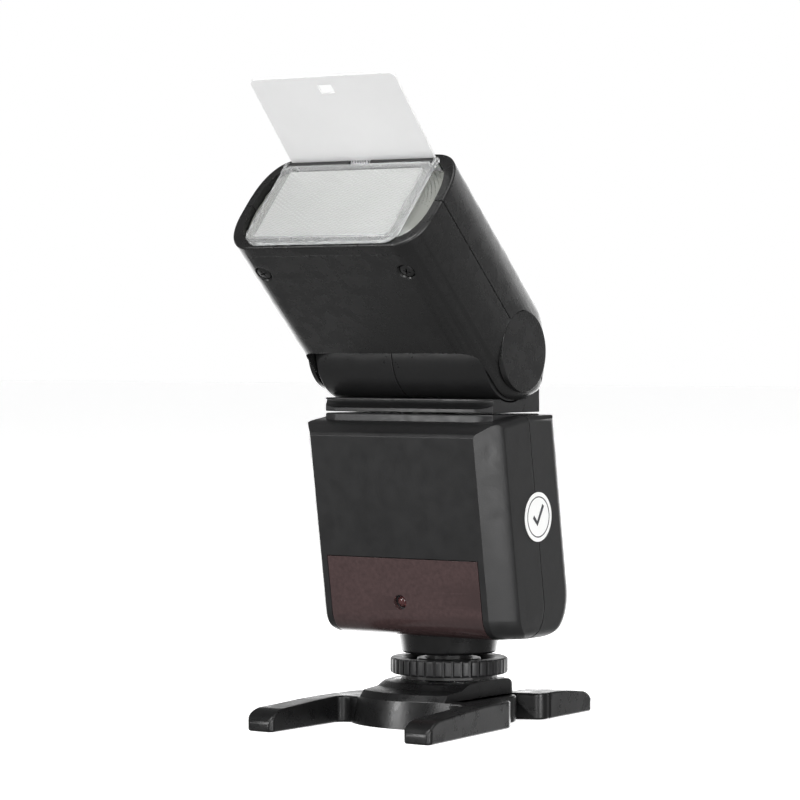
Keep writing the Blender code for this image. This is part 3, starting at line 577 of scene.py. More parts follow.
def casing(name):
    shell = solid(name, body_solid(0.0), ROOT)
    hollow = tool(body_solid(WALL, 5), ROOT)
    combine(hollow, [("INTERSECT", tool(through(body_side_profile(WALL)), ROOT))])
    fillet = [(78.0, 0.0), (81.9, 0.0), (82.25, 0.15), (82.35, 0.5)]
    flare = loft([[(x, y, z) for x, y in neck_outline(shrink)] for z, shrink in fillet])
    combine(shell, [("INTERSECT", tool(top_form(0.0, TOP_ROUND), ROOT)),
                    ("UNION", tool(flare, ROOT)), ("DIFFERENCE", hollow),
                    ("DIFFERENCE", tool(cylinder(8.0, 70.0, 90.0, centre=(0.0, PAN_Y)), ROOT))])
    return shell


def door_region(grow):
    return box((-40.0, -20.0), (DOOR_Y[0] - grow, DOOR_Y[1] + grow), (DOOR_Z[0] - grow, DOOR_Z[1] + grow))


def front_shell():
    shell = casing("front_shell")
    half = WINDOW_HALF + 0.2
    combine(shell, [("INTERSECT", tool(through(front_region(0.0)), ROOT)),
                    *cuts(LEANING, box((-half, half), (-FAR, -17.6), (-FAR, WINDOW_TOP + 0.2)),
                          door_region(0.2))])
    soften(shell, 0.22, 2)
    finish_piece(shell, "body", "flash_body", ["body_front_shell"])


def rear_shell():
    shell = casing("rear_shell")
    steps = [("DIFFERENCE", tool(through(front_region(SEAM_WIDTH)), ROOT))]
    holes = [prism(rounded(19.2, 10.2, 1.7, 6, (0.0, 19.6)), 5.0, 20.0, "Y"),
             cylinder(9.45, 5.0, 20.0, "Y", DIAL_AT), cylinder(3.05, 5.0, 20.0, "Y", TEST_AT),
             box((SWITCH_AT[0] - 4.6, SWITCH_AT[0] + 4.6), (5.0, 20.0),
                 (SWITCH_AT[1] - 1.9, SWITCH_AT[1] + 1.9)),
             prism(rounded(3.2, 5.2, 0.9, 6, PORT_AT), -FAR, -29.7, "X"),
             box((-FAR, -25.0), (PORT_AT[0] - 1.9, PORT_AT[0] + 1.9), (PORT_AT[1] - 4.1, PORT_AT[1] + 4.1))]
    holes += [prism(rounded(3.6, 2.1, 2.0, 8, at), 5.0, 20.0, "Y") for at in BUTTON_AT.values()]
    steps += cuts(LEANING, *holes)
    combine(shell, steps)
    soften(shell, 0.22, 2)
    finish_piece(shell, "body", "flash_body", ["body_rear_shell"])


def signal_window():
    piece = solid("red_window", body_solid(0.0, 24), ROOT)
    combine(piece, [("DIFFERENCE", tool(body_solid(1.8, 8), ROOT)),
                    ("INTERSECT", tool(box((-WINDOW_HALF, WINDOW_HALF), (-FAR, -17.9), (-FAR, WINDOW_TOP)),
                                       LEANING)),
                    ("DIFFERENCE", tool(cylinder(2.0, -40.0, -10.0, "Y", SENSOR_AT, 48), LEANING))])
    soften(piece, 0.3, 3)
    finish_piece(piece, "red", "flash_body", ["signal_window"])
    dome = [(0.25, -22.62), (0.7, -22.55), (1.1, -22.35), (1.4, -22.0), (1.55, -21.6), (1.65, -20.7)]
    lens = turned(dome, "Y", SENSOR_AT, 48)
    lens = solid("sensor_dome", lens, LEANING)
    finish_piece(lens, "lens", "flash_body", ["sensor_lens"])
    seat = tube([(1.7, -20.6), (2.6, -20.6), (2.6, -21.5), (1.75, -21.5)], "Y", SENSOR_AT, 48)
    finish_piece(solid("sensor_seat", seat, LEANING), "inner", "flash_body")


def battery_door():
    door = solid("door_panel", body_solid(0.0), ROOT)
    combine(door, [("DIFFERENCE", tool(body_solid(WALL - 0.2, 5), ROOT)),
                   ("INTERSECT", tool(door_region(0.0), LEANING))])
    ribs = [box((-32.0, -30.75), (-13.6, -8.2), (7.0 - 1.3 * k, 7.5 - 1.3 * k)) for k in range(4)]
    combine(door, cuts(LEANING, *ribs))
    soften(door, 0.25, 2)
    finish_piece(door, "body", "battery_door", ["battery_door"])


def sticker():
    """A plain round seal with a ring and a tick, and no lettering."""
    at = STICKER_AT
    disc = solid("seal_disc", cylinder(6.5, HALF_WIDTH + 0.05, HALF_WIDTH + 0.2, "X", at, 96), LEANING)
    finish_piece(disc, "label", "flash_body", ["inspection_sticker"])
    level = (HALF_WIDTH + 0.18, HALF_WIDTH + 0.245)
    line = [(5.1, level[0]), (5.4, level[0]), (5.4, level[1]), (5.1, level[1])]
    ring = solid("seal_ring", tube(line, "X", at, 96), LEANING)
    finish_piece(ring, "ink", "flash_body")
    tick = [(-2.7, 0.1), (-0.8, -2.3), (3.1, 2.3), (2.4, 3.0), (-0.8, -1.0), (-2.0, 0.8)]
    tick = prism([(at[0] + a, at[1] + b) for a, b in tick], level[0], level[1], "X")
    finish_piece(solid("seal_tick", tick, LEANING), "ink", "flash_body")


# ---- rear panel

def rear_controls():
    glass = cushion(lambda i: rounded(19.0 - i, 10.0 - i, 1.5, 6, (0.0, 19.6)),
                    FACE - 1.0, FACE + 0.2, "Y", 0.3)
    glass = solid("display_cover", glass, LEANING)
    finish_piece(glass, "display", "flash_body", ["lcd_window"])
    field = prism(rounded(15.6, 7.6, 0.5, 4, (0.0, 19.9)), FACE + 0.15, FACE + 0.24, "Y")
    finish_piece(solid("display_field", field, LEANING), "screen", "flash_body")
    for name, at in BUTTON_AT.items():
        cap = cushion(lambda i: rounded(3.4 - i, 1.9 - i, 1.8 - i * 0.8, 8, at), 7.6, FACE + 0.8, "Y", 0.5)
        cap = solid("cap_" + name, cap, LEANING)
        finish_piece(cap, "rubber", "button_" + name, ["button_" + name])
        mark = prism(rounded(1.1, 0.16, 0.15, 3, at), FACE + 0.78, FACE + 0.84, "Y")
        finish_piece(solid("mark_" + name, mark, LEANING), "print", "button_" + name)
    dial()
    middle_cap = turned([(4.5, 7.6), (4.5, FACE + 0.9), (4.35, FACE + 1.2), (4.0, FACE + 1.4),
                         (3.2, FACE + 1.3), (1.4, FACE + 1.05), (0.3, FACE + 1.0)], "Y", DIAL_AT)
    finish_piece(solid("set_cap", middle_cap, LEANING), "rubber", "set_button", ["set_button"])
    test = turned([(2.8, 7.6), (2.8, FACE + 0.4), (2.65, FACE + 0.7), (2.3, FACE + 0.8), (1.2, FACE + 0.7),
                   (0.2, FACE + 0.65)], "Y", TEST_AT, 64)
    finish_piece(solid("test_cap", test, LEANING), "screen", "test_button", ["test_button"])
    x, z = SWITCH_AT[0] - 2.0, SWITCH_AT[1]
    knob = cushion(lambda i: rounded(2.2 - i, 1.6 - i, 0.5, 5, (x, z)), 8.0, FACE + 1.2, "Y", 0.3)
    knob = solid("switch_knob", knob, LEANING)
    grooves = [box((x - 0.15 + k, x + 0.15 + k), (FACE + 0.8, 20.0), (z - 3, z + 3))
               for k in (-1.0, 0.0, 1.0)]
    combine(knob, cuts(LEANING, *grooves))
    finish_piece(knob, "rubber", "power_switch", ["power_switch"])
    well = box((SWITCH_AT[0] - 4.5, SWITCH_AT[0] + 4.5), (7.0, 7.9), (z - 1.8, z + 1.8))
    finish_piece(solid("switch_well", well, LEANING), "inner", "flash_body")


def dial():
    count = 36
    bm = bmesh.new()
    profile = [(4.9, 9.8, 0), (9.0, 9.8, 0), (9.2, 10.1, 1), (9.2, FACE + 1.2, 1), (8.9, FACE + 1.6, 1),
               (8.4, FACE + 1.7, 0), (5.6, FACE + 1.6, 0), (5.1, FACE + 1.4, 0), (4.9, FACE + 1.0, 0)]
    rows = []
    for radius, level, notched in profile:
        row = []
        for i in range(4 * count):
            notch = 0.35 if notched and i % 4 in (0, 1) else 0.0
            t = 2 * math.pi * i / (4 * count)
            row.append(bm.verts.new((DIAL_AT[0] + (radius - notch) * math.cos(t), level,
                                     DIAL_AT[1] + (radius - notch) * math.sin(t))))
        rows.append(row)
    bridge(bm, rows + rows[:1])
    wheel = solid("dial_wheel", bm, LEANING)
    finish_piece(wheel, "rubber", "select_dial", ["select_dial"], sharp=30.0)
    for k in range(4):
        t = math.pi / 2 * k
        at = (DIAL_AT[0] + 6.9 * math.cos(t), DIAL_AT[1] + 6.9 * math.sin(t))
        dot = cylinder(0.35, FACE + 1.6, FACE + 1.7, "Y", at, 20)
        finish_piece(solid("dial_dot_%d" % k, dot, LEANING), "print", "select_dial")


def port_cover():
    cover = cushion(lambda i: rounded(3.0 - i, 5.0 - i, 0.8, 6, PORT_AT), -30.0, -30.9, "X", 0.25)
    cover = solid("cover_flap", cover, LEANING)
    grip = rounded(0.5, 1.6, 0.45, 4, (PORT_AT[0] + 1.9, PORT_AT[1]))
    combine(cover, cuts(LEANING, prism(grip, -FAR, -30.65, "X")))
    finish_piece(cover, "rubber", "port_cover", ["port_cover"])


# ---- neck

def cove_profile(front):
    """The hollow along the flange's front: deepest below its upper lip."""
    curve = arc((front, FLANGE_TOP - 0.45), (COVE, 2.2), -4, -88, 14)
    upper = [(front - 2.0, FLANGE_TOP - 0.45), (front + COVE, FLANGE_TOP - 0.45)]
    return upper + curve + [(front - 2.0, FLANGE_TOP - 2.75)]


def neck():
    plate = [(82.75, 0.15), (82.9, 0.0), (FLANGE_TOP - 0.15, 0.0), (FLANGE_TOP, 0.15)]
    base = solid("neck_flange", loft([[(x, y, z) for x, y in neck_outline(s)] for z, s in plate]), ROOT)
    hollow_front = tool(through(cove_profile(PAN_Y - NECK_DEPTH)), ROOT)
    rear = PAN_Y + NECK_DEPTH
    block = prism([(rear - 6.5, 84.0), (rear - 0.05, 84.0), (rear - 0.05, 91.2), (rear - 0.6, 92.0),
                   (rear - 6.5, 92.0)], -NECK_HALF, NECK_HALF, "X")
    seat = cylinder(BARREL_RADIUS + GAP, -FAR, FAR, "X", (PIVOT.y - AXIS_Y, PIVOT.z), 128)
    combine(base, [("DIFFERENCE", hollow_front), ("UNION", tool(block, ROOT)),
                   ("DIFFERENCE", tool(seat, ROOT)),
                   ("UNION", tool(cylinder(7.5, 72.8, 83.75, centre=(0.0, PAN_Y)), ROOT)),
                   ("DIFFERENCE", tool(cylinder(5.0, 60.0, 90.0, centre=(0.0, PAN_Y)), ROOT))])
    finish_piece(base, "neck", "neck", ["neck_base"], sharp=30.0)
    for side, name in SIDES:
        seam = side * BARREL_SEAM + 0.12
        profile = [(BARREL_RADIUS - 2.0, seam), (BARREL_RADIUS - 0.15, seam), (BARREL_RADIUS, seam + 0.15),
                   (BARREL_RADIUS, 26.3), (BARREL_RADIUS - 0.15, 26.65), (BARREL_RADIUS - 0.5, 26.8),
                   (5.3, 26.8), (5.3, 24.4), (BARREL_RADIUS - 2.0, 24.4)]
        half = solid("barrel_" + name, tube([(r, side * x) for r, x in profile], "X", count=144), PIVOTED)
        drop = PAN_Y + AXIS_Y - PIVOT.y
        combine(half, cuts(PIVOTED, box((-7.0, 7.0), (drop - 7.0, drop + 7.0), (-20.0, -5.0))))
        finish_piece(half, "neck", "neck", ["neck_half_" + name], sharp=30.0)


# ---- head

def head_outline(inset, squeeze=1.0, narrow=0.0, steps=18):
    half = HALF_WIDTH - inset - narrow
    low, high = (HEAD_BOTTOM + inset) * squeeze, (HEAD_TOP - inset) * squeeze
    points = []
    for (a, b), level, start, power in (((9.0, 13.9), low, -90, 2.4), ((10.1, 16.6), high, 0, 2.5)):
        a, b = a - 0.5 * inset, (b - 0.7 * inset) * squeeze
        sign = -1 if start < 0 else 1
        for i in range(steps + 1):
            t = math.radians(start + 90 * i / steps)
            x = half - a + a * abs(math.cos(t)) ** (2 / power)
            points.append((x, level - sign * b + sign * b * abs(math.sin(t)) ** (2 / power)))
    return mirrored(points)


def head_solid(inset, start, end, steps=18, front_edge=0.0):
    """The head's form between two places along it, round at the rear and, if asked, at the front edge."""
    rings = []
    rear = [p for p in (-HEAD_REAR * math.sin(math.radians(a)) for a in range(84, -1, -6)) if p > start]
    front = []
    if front_edge:
        turns = [math.radians(a) for a in range(0, 91, 15)]
        front = [(end - front_edge * (1 - math.sin(t)), front_edge * (1 - math.cos(t))) for t in turns]
    for u, shrink in [(start, 0.0)] + [(u, 0.0) for u in rear] + (front or [(end, 0.0)]):
        squeeze = math.sqrt(max(1.0 - (min(u, 0.0) / HEAD_REAR) ** 2, 0.001))
        outline = head_outline(inset + shrink, squeeze, 2.2 * (1.0 - squeeze), steps)
        rings.append([(x, v, u) for x, v in outline])
    return loft(rings)


def head_casing(name):
    """Outer form with a rounded rim, hollowed, open at the lens and cleared round the neck."""
    shell = solid(name, head_solid(0.0, -14.15, HEAD_LENGTH, front_edge=0.7), HEAD)
    field = rounded(RECESS_HALF - 0.06, 20.0, 5.0, 8, (0.0, RECESS_END - 20.0))
    wide = RECESS_HALF + 0.06
    steps = [tool(head_solid(WALL, 15.0, 51.0, 8), HEAD), tool(head_solid(RIM, 49.0, 60.0), HEAD),
             tool(cylinder(BARREL_RADIUS + 0.4, -RECESS_HALF, RECESS_HALF, "X", count=128), HEAD),
             tool(prism(field, -20.0, 0.0, "Y"), HEAD),
             tool(box((-wide, wide), (-19.0, 15.8), (-21.0, -6.3)), HEAD)]
    for side in (-1, 1):
        steps.append(tool(cylinder(10.72, *sorted((side * 29.3, side * 40.0)), "X", count=96), HEAD))
        steps.append(tool(cylinder(5.25, *sorted((side * 25.0, side * 39.0)), "X", count=48), HEAD))
    steps.append(tool(box((-23.0, 23.0), (-1.8, 0.9), (-8.0, 6.0)), CARD))
    combine(shell, [("DIFFERENCE", step) for step in steps])
    return shell


def step_line():
    """The shallow embossed line near the front edge of the head's lower face."""
    half, line = 24.0, 0.16
    level = (HEAD_BOTTOM - 1.0, HEAD_BOTTOM + 0.14)
    path = [(-half - 1.6, 47.5), (-half - 0.4, 49.6), (-half + 2.0, 50.5), (half - 2.0, 50.5),
            (half + 0.4, 49.6), (half + 1.6, 47.5)]
    inner = [(x * 0.992, u - line) for x, u in path]
    return prism(path + inner[::-1], level[0], level[1], "Y")


def head_shells():
    bottom = head_casing("lower_head")
    above = box((-FAR, FAR), (HEAD_SEAM - SEAM_WIDTH / 2, FAR), (-30.0, 70.0))
    steps = cuts(HEAD, above, step_line())
    for side in (-1, 1):
        at = (side * SCREW_X, SCREW_U)
        pocket = turned([(2.6, -20.0), (2.6, -13.75), (2.25, -13.4), (2.25, -12.7)], "Y", at, 48)
        steps.append(("DIFFERENCE", tool(pocket, HEAD)))
    combine(bottom, steps)
    soften(bottom, 0.2, 2, 36.0)
    finish_piece(bottom, "head", "head", ["head_bottom_shell"])
    top = head_casing("upper_head")
    below = box((-FAR, FAR), (-FAR, HEAD_SEAM + SEAM_WIDTH / 2), (-30.0, 70.0))
    combine(top, cuts(HEAD, below))
    soften(top, 0.2, 2, 36.0)
    finish_piece(top, "head", "head", ["head_top_shell"])
    for side, name in SIDES:
        face = side * HALF_WIDTH
        cap = turned([(10.2, side * 29.6), (10.6, side * 29.6), (10.6, face - side * 0.25),
                      (10.52, face - side * 0.08), (10.35, face), (4.0, face)], "X", count=128)
        cap = solid("axle_cap_" + name, cap, HEAD)
        finish_piece(cap, "head", "head", ["tilt_cap_" + name])
        head_screw(side, name)


def head_screw(side, name):
    at = (side * SCREW_X, SCREW_U)
    screw = turned([(0.6, -13.72), (1.4, -13.66), (1.85, -13.5), (1.95, -13.35), (1.25, -12.8)], "Y", at, 48)
    screw = solid("screw_" + name, screw, HEAD)
    turn = Matrix.Translation((at[0], 0.0, at[1])) @ Matrix.Rotation(math.radians(20.0 * side), 4, "Y")
    arms = [box((-a, a), (-14.0, -13.05), (-b, b)) for a, b in ((1.15, 0.22), (0.22, 1.15))]
    combine(screw, cuts(HEAD @ turn, *arms))
    finish_piece(screw, "blackened", "head", ["head_screw_" + name], sharp=25.0)


# ---- lens, panel and card

def clip_outline(x, outline):
    """The lowest and highest v of an outline at one x."""
    levels = []
    for (x0, v0), (x1, v1) in zip(outline, outline[1:] + outline[:1]):
        if (x0 - x) * (x1 - x) <= 0.0 and x0 != x1:
            levels.append(v0 + (v1 - v0) * (x - x0) / (x1 - x0))
    return min(levels), max(levels)


def relief_plate(name, outline, back, height, matrix, columns, rows):
    """A plate in a closed outline whose front face follows a height function."""
    half = max(x for x, _ in outline)
    bm = bmesh.new()
    front, rear = [], []
    for i in range(columns + 1):
        along = i / columns
        x = half * 0.9995 * math.sin(math.pi * (along - 0.5)) * 0.25
        x += half * 0.9995 * (2 * i / columns - 1) * 0.75
        low, high = clip_outline(x, outline)
        front.append([])
        rear.append([])
        for j in range(rows + 1):
            v = low + (high - low) * j / rows
            front[-1].append(bm.verts.new((x, v, height(x, v))))
            rear[-1].append(bm.verts.new((x, v, back)))
    for i in range(columns):
        for j in range(rows):
            bm.faces.new((front[i][j], front[i + 1][j], front[i + 1][j + 1], front[i][j + 1]))
            bm.faces.new((rear[i][j], rear[i][j + 1], rear[i + 1][j + 1], rear[i + 1][j]))
        bm.faces.new((rear[i][0], rear[i + 1][0], front[i + 1][0], front[i][0]))
        bm.faces.new((front[i][rows], front[i + 1][rows], rear[i + 1][rows], rear[i][rows]))
    for j in range(rows):
        bm.faces.new((front[0][j], front[0][j + 1], rear[0][j + 1], rear[0][j]))
        bm.faces.new((rear[columns][j], rear[columns][j + 1], front[columns][j + 1], front[columns][j]))
    return solid(name, bm, matrix)


def ring_plate(outer, inner, low, high):
    """A flat plate with a hole; both outlines have the same number of points."""
    bm = bmesh.new()
    levels = ((outer, low), (outer, high), (inner, high), (inner, low))
    rows = [[bm.verts.new((x, v, u)) for x, v in outline] for outline, u in levels]
    bridge(bm, rows + rows[:1])
    return bm


def fresnel():
    """The ribbed lens: its grooves follow long ovals round the middle."""
    pitch, depth = 0.8, 0.45
    outline = [(x, min(v, LENS_TOP)) for x, v in head_outline(RIM + GAP, 1.0, 0.0, 24)]

    def height(x, v):
        reach = math.hypot(x * 0.75, v - 1.0)
        if reach < 5.0:
            return 52.1
        phase = (reach / pitch) % 1.0
        return 52.15 - depth * phase
    lens = relief_plate("ribbed_lens", outline, 50.9, height, HEAD, 300, 120)
    finish_piece(lens, "fresnel", "head", ["fresnel_lens"], sharp=20.0)
    flange = prism([(x, min(v, LENS_TOP)) for x, v in head_outline(2.4, 1.0, 0.0, 18)], 49.3, 50.7)
    finish_piece(solid("lens_flange", flange, HEAD), "fresnel", "head")
    around, mouth = rounded(27.0, 12.0, 8.0, 5, (0.0, 1.5)), rounded(19.2, 9.9, 1.5, 5, (0.0, 1.5))
    # a white plate behind the lens in place of the mirror interior's reflection: painted reflection
    painted_reflection = solid("painted_reflection_plate", ring_plate(around, mouth, 48.3, 48.9), HEAD)
    finish_piece(painted_reflection, "painted_reflection", "head")


def wide_panel():
    """Clear frame with a field of small diamonds, knuckles at its upper corners."""
    plan = mirrored(arc((19.6, -9.4), (4.0, 4.1), -90, 0, 6) + [(23.6, 12.6), (21.9, 14.3)])
    ring = solid("panel_frame", prism(plan, PANEL_BACK, PANEL_FRONT), HEAD)
    field = rounded(20.9, 11.9, 1.0, 4, (0.0, 0.5))
    steps = cuts(HEAD, prism(field, 50.0, 60.0))
    for side in (-1, 1):
        ends = sorted((side * 22.9, side * 23.9))
        steps.append(("UNION", tool(box(ends, (12.0, HINGE_V), (PANEL_BACK, PANEL_FRONT)), HEAD)))
        steps.append(("UNION", tool(cylinder(0.8, ends[0], ends[1], "X", (HINGE_V, HINGE_U), 32), HEAD)))
    combine(ring, steps)
    soften(ring, 0.15, 2)
    finish_piece(ring, "clear", "wide_panel", ["wide_panel"])
    pitch = 1.15

    def height(x, v):
        a = ((x * 0.62 + v) / pitch) % 1.0
        b = ((x * 0.62 - v) / pitch) % 1.0
        return PANEL_FRONT - 0.5 + 0.34 * (min(a, 1.0 - a) + min(b, 1.0 - b))
    inner = rounded(20.88, 11.88, 1.0, 4, (0.0, 0.5))
    plate = relief_plate("panel_diamonds", inner, PANEL_BACK + 0.1, height, HEAD, 260, 120)
    finish_piece(plate, "diamonds", "wide_panel", sharp=12.0)


def panel_spring():
    """The small coil that pushes the two hinge pins apart."""
    curve = bpy.data.curves.new("hinge_coil", "CURVE")
    curve.dimensions = "3D"
    curve.bevel_depth = 0.17 * MM
    curve.bevel_resolution = 3
    curve.use_fill_caps = True
    turns, around, half = 7, 18, 2.8
    line = curve.splines.new("POLY")
    line.points.add(turns * around)
    for i in range(turns * around + 1):
        t = 2 * math.pi * i / around
        x = -half + 2 * half * i / (turns * around)
        point = MM * (HEAD @ Vector((x, HINGE_V + 0.62 * math.cos(t), HINGE_U + 0.62 * math.sin(t))))
        line.points[i].co = (*point, 1.0)
    coil = bpy.data.objects.new("hinge_coil", curve)
    bpy.context.scene.collection.objects.link(coil)
    curve.materials.append(MATS["steel"])
    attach(coil, "head")
    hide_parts("panel_spring")
    for side, name in SIDES:
        ends = [side * x for x in (3.3, 3.35, 22.5, 22.6)]
        pin = turned(list(zip((0.6, 0.72, 0.72, 0.6), ends)), "X", (HINGE_V, HINGE_U), 32)
        pin = solid("hinge_pin_" + name, pin, HEAD)
        finish_piece(pin, "blackened", "head", ["panel_pin_" + name])


def bounce_card():
    low, tip, half = -7.5, 28.5, 22.5
    plan = [(-half, low), (half, low)] + arc((half - 1.6, tip - 1.6), 1.6, 0, 90, 8)
    plan += arc((1.6 - half, tip - 1.6), 1.6, 90, 180, 8)
    card = solid("card_sheet", prism(plan, -0.3, 0.3, "Y"), CARD)
    hole = prism(rounded(2.1, 1.3, 0.25, 4, (0.0, tip - 4.1)), -3.0, 3.0, "Y")
    combine(card, cuts(CARD, hole))
    soften(card, 0.12, 2)
    finish_piece(card, "card", "bounce_card", ["bounce_card"])


# ---- foot and stand

def lock_ring():
    count, radius = 40, 15.76
    groove = ((0.0, 0.62), (0.2, 0.62), (0.3, 0.1), (0.42, 0.0), (0.83, 0.0), (0.95, 0.1))
    rings = []
    for level, shrink in ((12.7, 0.5), (12.95, 0.15), (13.2, 0.0), (16.4, 0.0), (16.65, 0.15), (16.9, 0.5)):
        ring = []
        for i in range(count):
            for shift, depth in groove:
                t = 2 * math.pi * (i + shift) / count
                r = radius - max(depth, shrink)
                ring.append((r * math.cos(t), r * math.sin(t), level))
        rings.append(ring)
    ring = solid("ribbed_ring", loft(rings), ROOT)
    hollow = turned([(11.7, 14.2), (12.0, 14.5), (12.2, 16.4), (12.7, 17.1), (12.7, 20.0)])
    combine(ring, cuts(ROOT, hollow, cylinder(6.3, 10.0, 20.0)))
    finish_piece(ring, "ring", "lock_ring", ["lock_ring"], sharp=35.0)
    for k in range(5):
        t = 2 * math.pi * (k + 0.28) / 5
        wall = Matrix.Translation((9.2 * math.cos(t), 9.2 * math.sin(t), 0.0)) @ Matrix.Rotation(t, 4, "Z")
        rib = solid("ring_rib_%d" % k, box((-2.6, 2.6), (-0.45, 0.45), (14.0, 16.2)), ROOT @ wall)
        finish_piece(rib, "ring", "lock_ring")
    nut = tube([(6.4, 14.25), (8.6, 14.25), (8.6, 16.4), (8.3, 16.7), (6.7, 16.7), (6.4, 16.4)])
    finish_piece(solid("ring_nut", nut, ROOT), "blackened", "lock_ring")


def collar():
    turns = [math.radians(a) for a in range(0, 91, 15)]
    profile = [(10.9, 18.2)] + [(11.9 + 0.9 * math.sin(t), 19.1 - 0.9 * math.cos(t)) for t in turns]
    piece = solid("collar_cone", turned(profile + [(13.5, 23.3), (13.6, 24.2), (13.5, 33.0)]), ROOT)
    combine(piece, cuts(ROOT, body_solid(-0.12), cylinder(6.3, 17.0, 22.0)))
    finish_piece(piece, "stand", "flash_body", ["foot_collar"])


def leg_outline(side, tip_y, tip_x, root):
    forward = -1 if tip_y < 0 else 1
    radius = 1.6
    inner, outer = tip_x, tip_x + 8.4
    ends = arc((inner + radius, tip_y - forward * radius), radius, 180, 180 + forward * -90, 4)
    ends += arc((outer - radius, tip_y - forward * radius), radius, forward * 90, 0, 4)
    return [(side * x, y) for x, y in ends + root]


def leg_profile():
    front = arc((-46.0, 1.9), (6.2, 4.0), 180, 90, 14)
    rear = arc((33.5, 1.9), (6.2, 4.0), 90, 0, 14)
    slope = [(-40.0, 6.22), (-32.0, 6.72), (-24.0, 7.02), (-18.0, LEG_TOP), (16.0, LEG_TOP), (22.0, 7.0),
             (28.0, 6.55)]
    return [(FRONT_TIP[0], 0.0)] + front + slope + rear + [(REAR_TIP[0], 0.0)]


def stand():
    base = solid("stand_frame", prism(rounded(19.0, 9.5, 6.0, 12, (0.0, -1.5)), 0.0, LEG_TOP), ROOT)
    front_root = [(25.4, -12.5)] + arc((19.0, -11.0), 6.4, 10, 75, 12) + [(10.0, -4.0), (12.0, -22.0)]
    front_root += arc((17.8, -23.9), 2.6, 126, 10, 10)
    rear_root = [(22.0, 16.0)] + arc((18.6, 14.6), 3.4, 20, -70, 12) + [(10.0, 8.0), (10.0, 20.0)]
    steps = []
    for side in (-1, 1):
        for (tip_y, tip_x), root in ((FRONT_TIP, front_root), (REAR_TIP, rear_root)):
            steps.append(("UNION", tool(prism(leg_outline(side, tip_y, tip_x, root), 0.0, LEG_TOP), ROOT)))
    steps.append(("INTERSECT", tool(through(leg_profile()), ROOT)))
    combine(base, steps)
    soften(base, 0.6, 4, 40.0, 0.4, False)
    hub = turned([(27.2, 0.0), (26.2, LEG_TOP), (26.2, 7.2), (26.0, 7.45), (24.8, 8.9), (24.4, 9.05),
                  (19.7, 9.55), (19.3, 9.7), (17.4, 10.8), (17.0, 10.92), (14.5, 11.3)], count=160)
    hub = solid("hub", hub, ROOT)
    plan = mirrored([(16.6, -30.0), (16.6, 5.0), (13.5, 8.0)] + arc((10.0, 9.5), 3.5, 0, 90, 8))
    front = mirrored([(16.6, -1.0), (16.6, LEG_TOP), (13.5, LEG_TOP), (13.5, 13.0)])
    fall = [(-FAR, -1.0), (12.9, -1.0), (12.9, 7.1), (12.4, 8.3), (11.3, 9.4), (9.8, 10.5), (8.4, 11.3),
            (8.0, 13.0), (-FAR, 13.0)]
    combine(hub, [("INTERSECT", tool(prism(plan, -1.0, 13.0), ROOT)),
                  ("INTERSECT", tool(through(fall), ROOT)),
                  ("INTERSECT", tool(through(front, "Y"), ROOT))])
    soften(hub, 0.35, 3, 25.0, 0.2)
    half = SHOE_HALF + GAP
    shoe_seat = box((-half, half), (-10.3, 22.0), (6.2, 20.0))
    combine(base, [("UNION", hub), *cuts(ROOT, shoe_seat, cylinder(4.5, -1.0, 5.7))])
    for side in (-1, 1):
        for y in (-46.0, 33.0):
            x = 24.6 if y < 0 else 16.9
            dish = cylinder(2.9, -1.0, 0.35, centre=(side * x, y), count=48)
            combine(base, cuts(ROOT, dish))
    finish_piece(base, "stand", "stand", ["stand_base"], sharp=30.0)


# ---- carried-over nodes

CARRIED = {
    "steel": ["cold_shoe", "lock_pin", "battery_contact", "door_contact", "lcd_module", "data_socket",
              "pan_retainer", "tilt_axle_left", "tilt_axle_right", "tilt_detent", "zoom_guide_rod",
              "zoom_screw", "zoom_motor"],
    "blackened": ["hot_shoe_foot", "lock_plate", "panel_slider"],
    "inner": ["contact_block", "zoom_carriage"],
    "brass": ["tripod_insert"],
    "mirror": ["reflector"],
    "tube": ["flash_tube"],
    "board": ["main_board"],
    "wrap": ["battery_cell_1", "battery_cell_2", "flash_capacitor"],
}


def dress_carried_nodes():
    for key, names in CARRIED.items():
        for name in names:
            mesh = frame["nodes"][name].data
            mesh.materials.clear()
            mesh.materials.append(MATS[key])


# ---- stage

def area_light(name, size, energy, place_mm, aim_mm):
    data = bpy.data.lights.new(name, "AREA")
    data.shape = "RECTANGLE"
    data.size, data.size_y = size
    data.energy = energy
    light = bpy.data.objects.new(name, data)
    bpy.context.scene.collection.objects.link(light)
    light.visible_camera = False
    light.location = Vector(place_mm) * MM
    light.rotation_euler = (Vector(place_mm) - Vector(aim_mm)).to_track_quat("Z", "Y").to_euler()


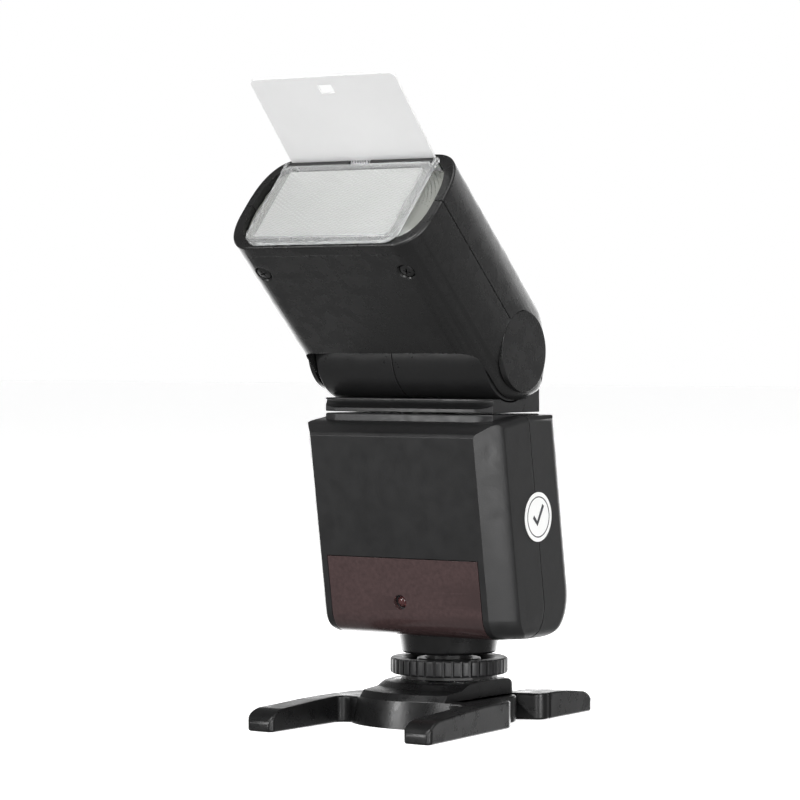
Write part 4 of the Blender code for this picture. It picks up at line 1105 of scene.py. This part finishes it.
def studio_world():
    """White to look at; as a light it is bright low behind the object, dim in front and dark below."""
    world = bpy.data.worlds.new("studio")
    bpy.context.scene.world = world
    world.use_nodes = True
    tree = world.node_tree
    direction = tree.nodes.new("ShaderNodeTexCoord").outputs["Generated"]

    def facing(vector, start, end, low, high):
        turn = tree.nodes.new("ShaderNodeVectorMath")
        turn.operation = "DOT_PRODUCT"
        turn.inputs[1].default_value = Vector(vector).normalized()
        tree.links.new(direction, turn.inputs[0])
        level = tree.nodes.new("ShaderNodeMapRange")
        level.interpolation_type = "SMOOTHSTEP"
        for key, value in (("From Min", start), ("From Max", end), ("To Min", low), ("To Max", high)):
            level.inputs[key].default_value = value
        tree.links.new(turn.outputs["Value"], level.inputs["Value"])
        return level.outputs["Result"]

    def total(first, second):
        node = tree.nodes.new("ShaderNodeMath")
        tree.links.new(first, node.inputs[0])
        tree.links.new(second, node.inputs[1])
        return node.outputs[0]
    up, down = (0.0, 0.0, 1.0), (0.0, 0.0, -1.0)
    away = (-math.sin(CAMERA_AZIMUTH), math.cos(CAMERA_AZIMUTH), 0.0)
    band = tree.nodes.new("ShaderNodeMath")
    band.operation = "MULTIPLY"
    tree.links.new(facing(away, 0.55, 0.8, 0.0, WORLD_BACK), band.inputs[0])
    tree.links.new(facing(up, 0.08, 0.26, 1.0, 0.0), band.inputs[1])
    level = total(band.outputs[0], facing(up, 0.1, 0.5, WORLD_FRONT, WORLD_ABOVE))
    level = total(level, facing(down, -0.1, 0.5, 0.0, WORLD_BELOW))
    shine = tree.nodes["Background"]
    shine.inputs["Color"].default_value = (1.0, 1.0, 1.0, 1.0)
    tree.links.new(level, shine.inputs["Strength"])
    seen = tree.nodes.new("ShaderNodeBackground")
    seen.inputs["Color"].default_value = (1.0, 1.0, 1.0, 1.0)
    choose = tree.nodes.new("ShaderNodeMixShader")
    tree.links.new(tree.nodes.new("ShaderNodeLightPath").outputs["Is Camera Ray"], choose.inputs[0])
    tree.links.new(shine.outputs[0], choose.inputs[1])
    tree.links.new(seen.outputs[0], choose.inputs[2])
    tree.links.new(choose.outputs[0], tree.nodes["World Output"].inputs["Surface"])


def stage():
    bpy.ops.mesh.primitive_plane_add(size=12.0, location=(0.0, 0.0, -0.00005))
    floor = bpy.context.object
    floor.name = "floor"
    floor.data.materials.append(MATS["floor"])
    floor.visible_diffuse = False
    floor.visible_glossy = False
    floor.visible_shadow = False
    studio_world()
    bpy.context.scene.view_settings.view_transform = "Standard"
    for name, size, energy, place_mm in LIGHTS:
        area_light(name, size, energy, place_mm, LIGHT_AIM)


def camera():
    data = bpy.data.cameras.new("camera")
    data.lens = CAMERA_LENS
    data.sensor_width = SENSOR
    data.clip_start = 0.01
    view = bpy.data.objects.new("camera", data)
    bpy.context.scene.collection.objects.link(view)
    aim = ROOT @ Vector(CAMERA_AIM)
    away = Vector((math.sin(CAMERA_AZIMUTH), -math.cos(CAMERA_AZIMUTH), 0.0)) * CAMERA_DISTANCE
    spot = aim + away + Vector((0.0, 0.0, CAMERA_RISE))
    view.location = spot * MM
    view.rotation_euler = (spot - aim).to_track_quat("Z", "Y").to_euler()
    bpy.context.scene.camera = view


# ---- assembly

stage()
camera()
front_shell()
rear_shell()
signal_window()
battery_door()
sticker()
rear_controls()
port_cover()
neck()
head_shells()
fresnel()
wide_panel()
panel_spring()
bounce_card()
lock_ring()
collar()
stand()
dress_carried_nodes()
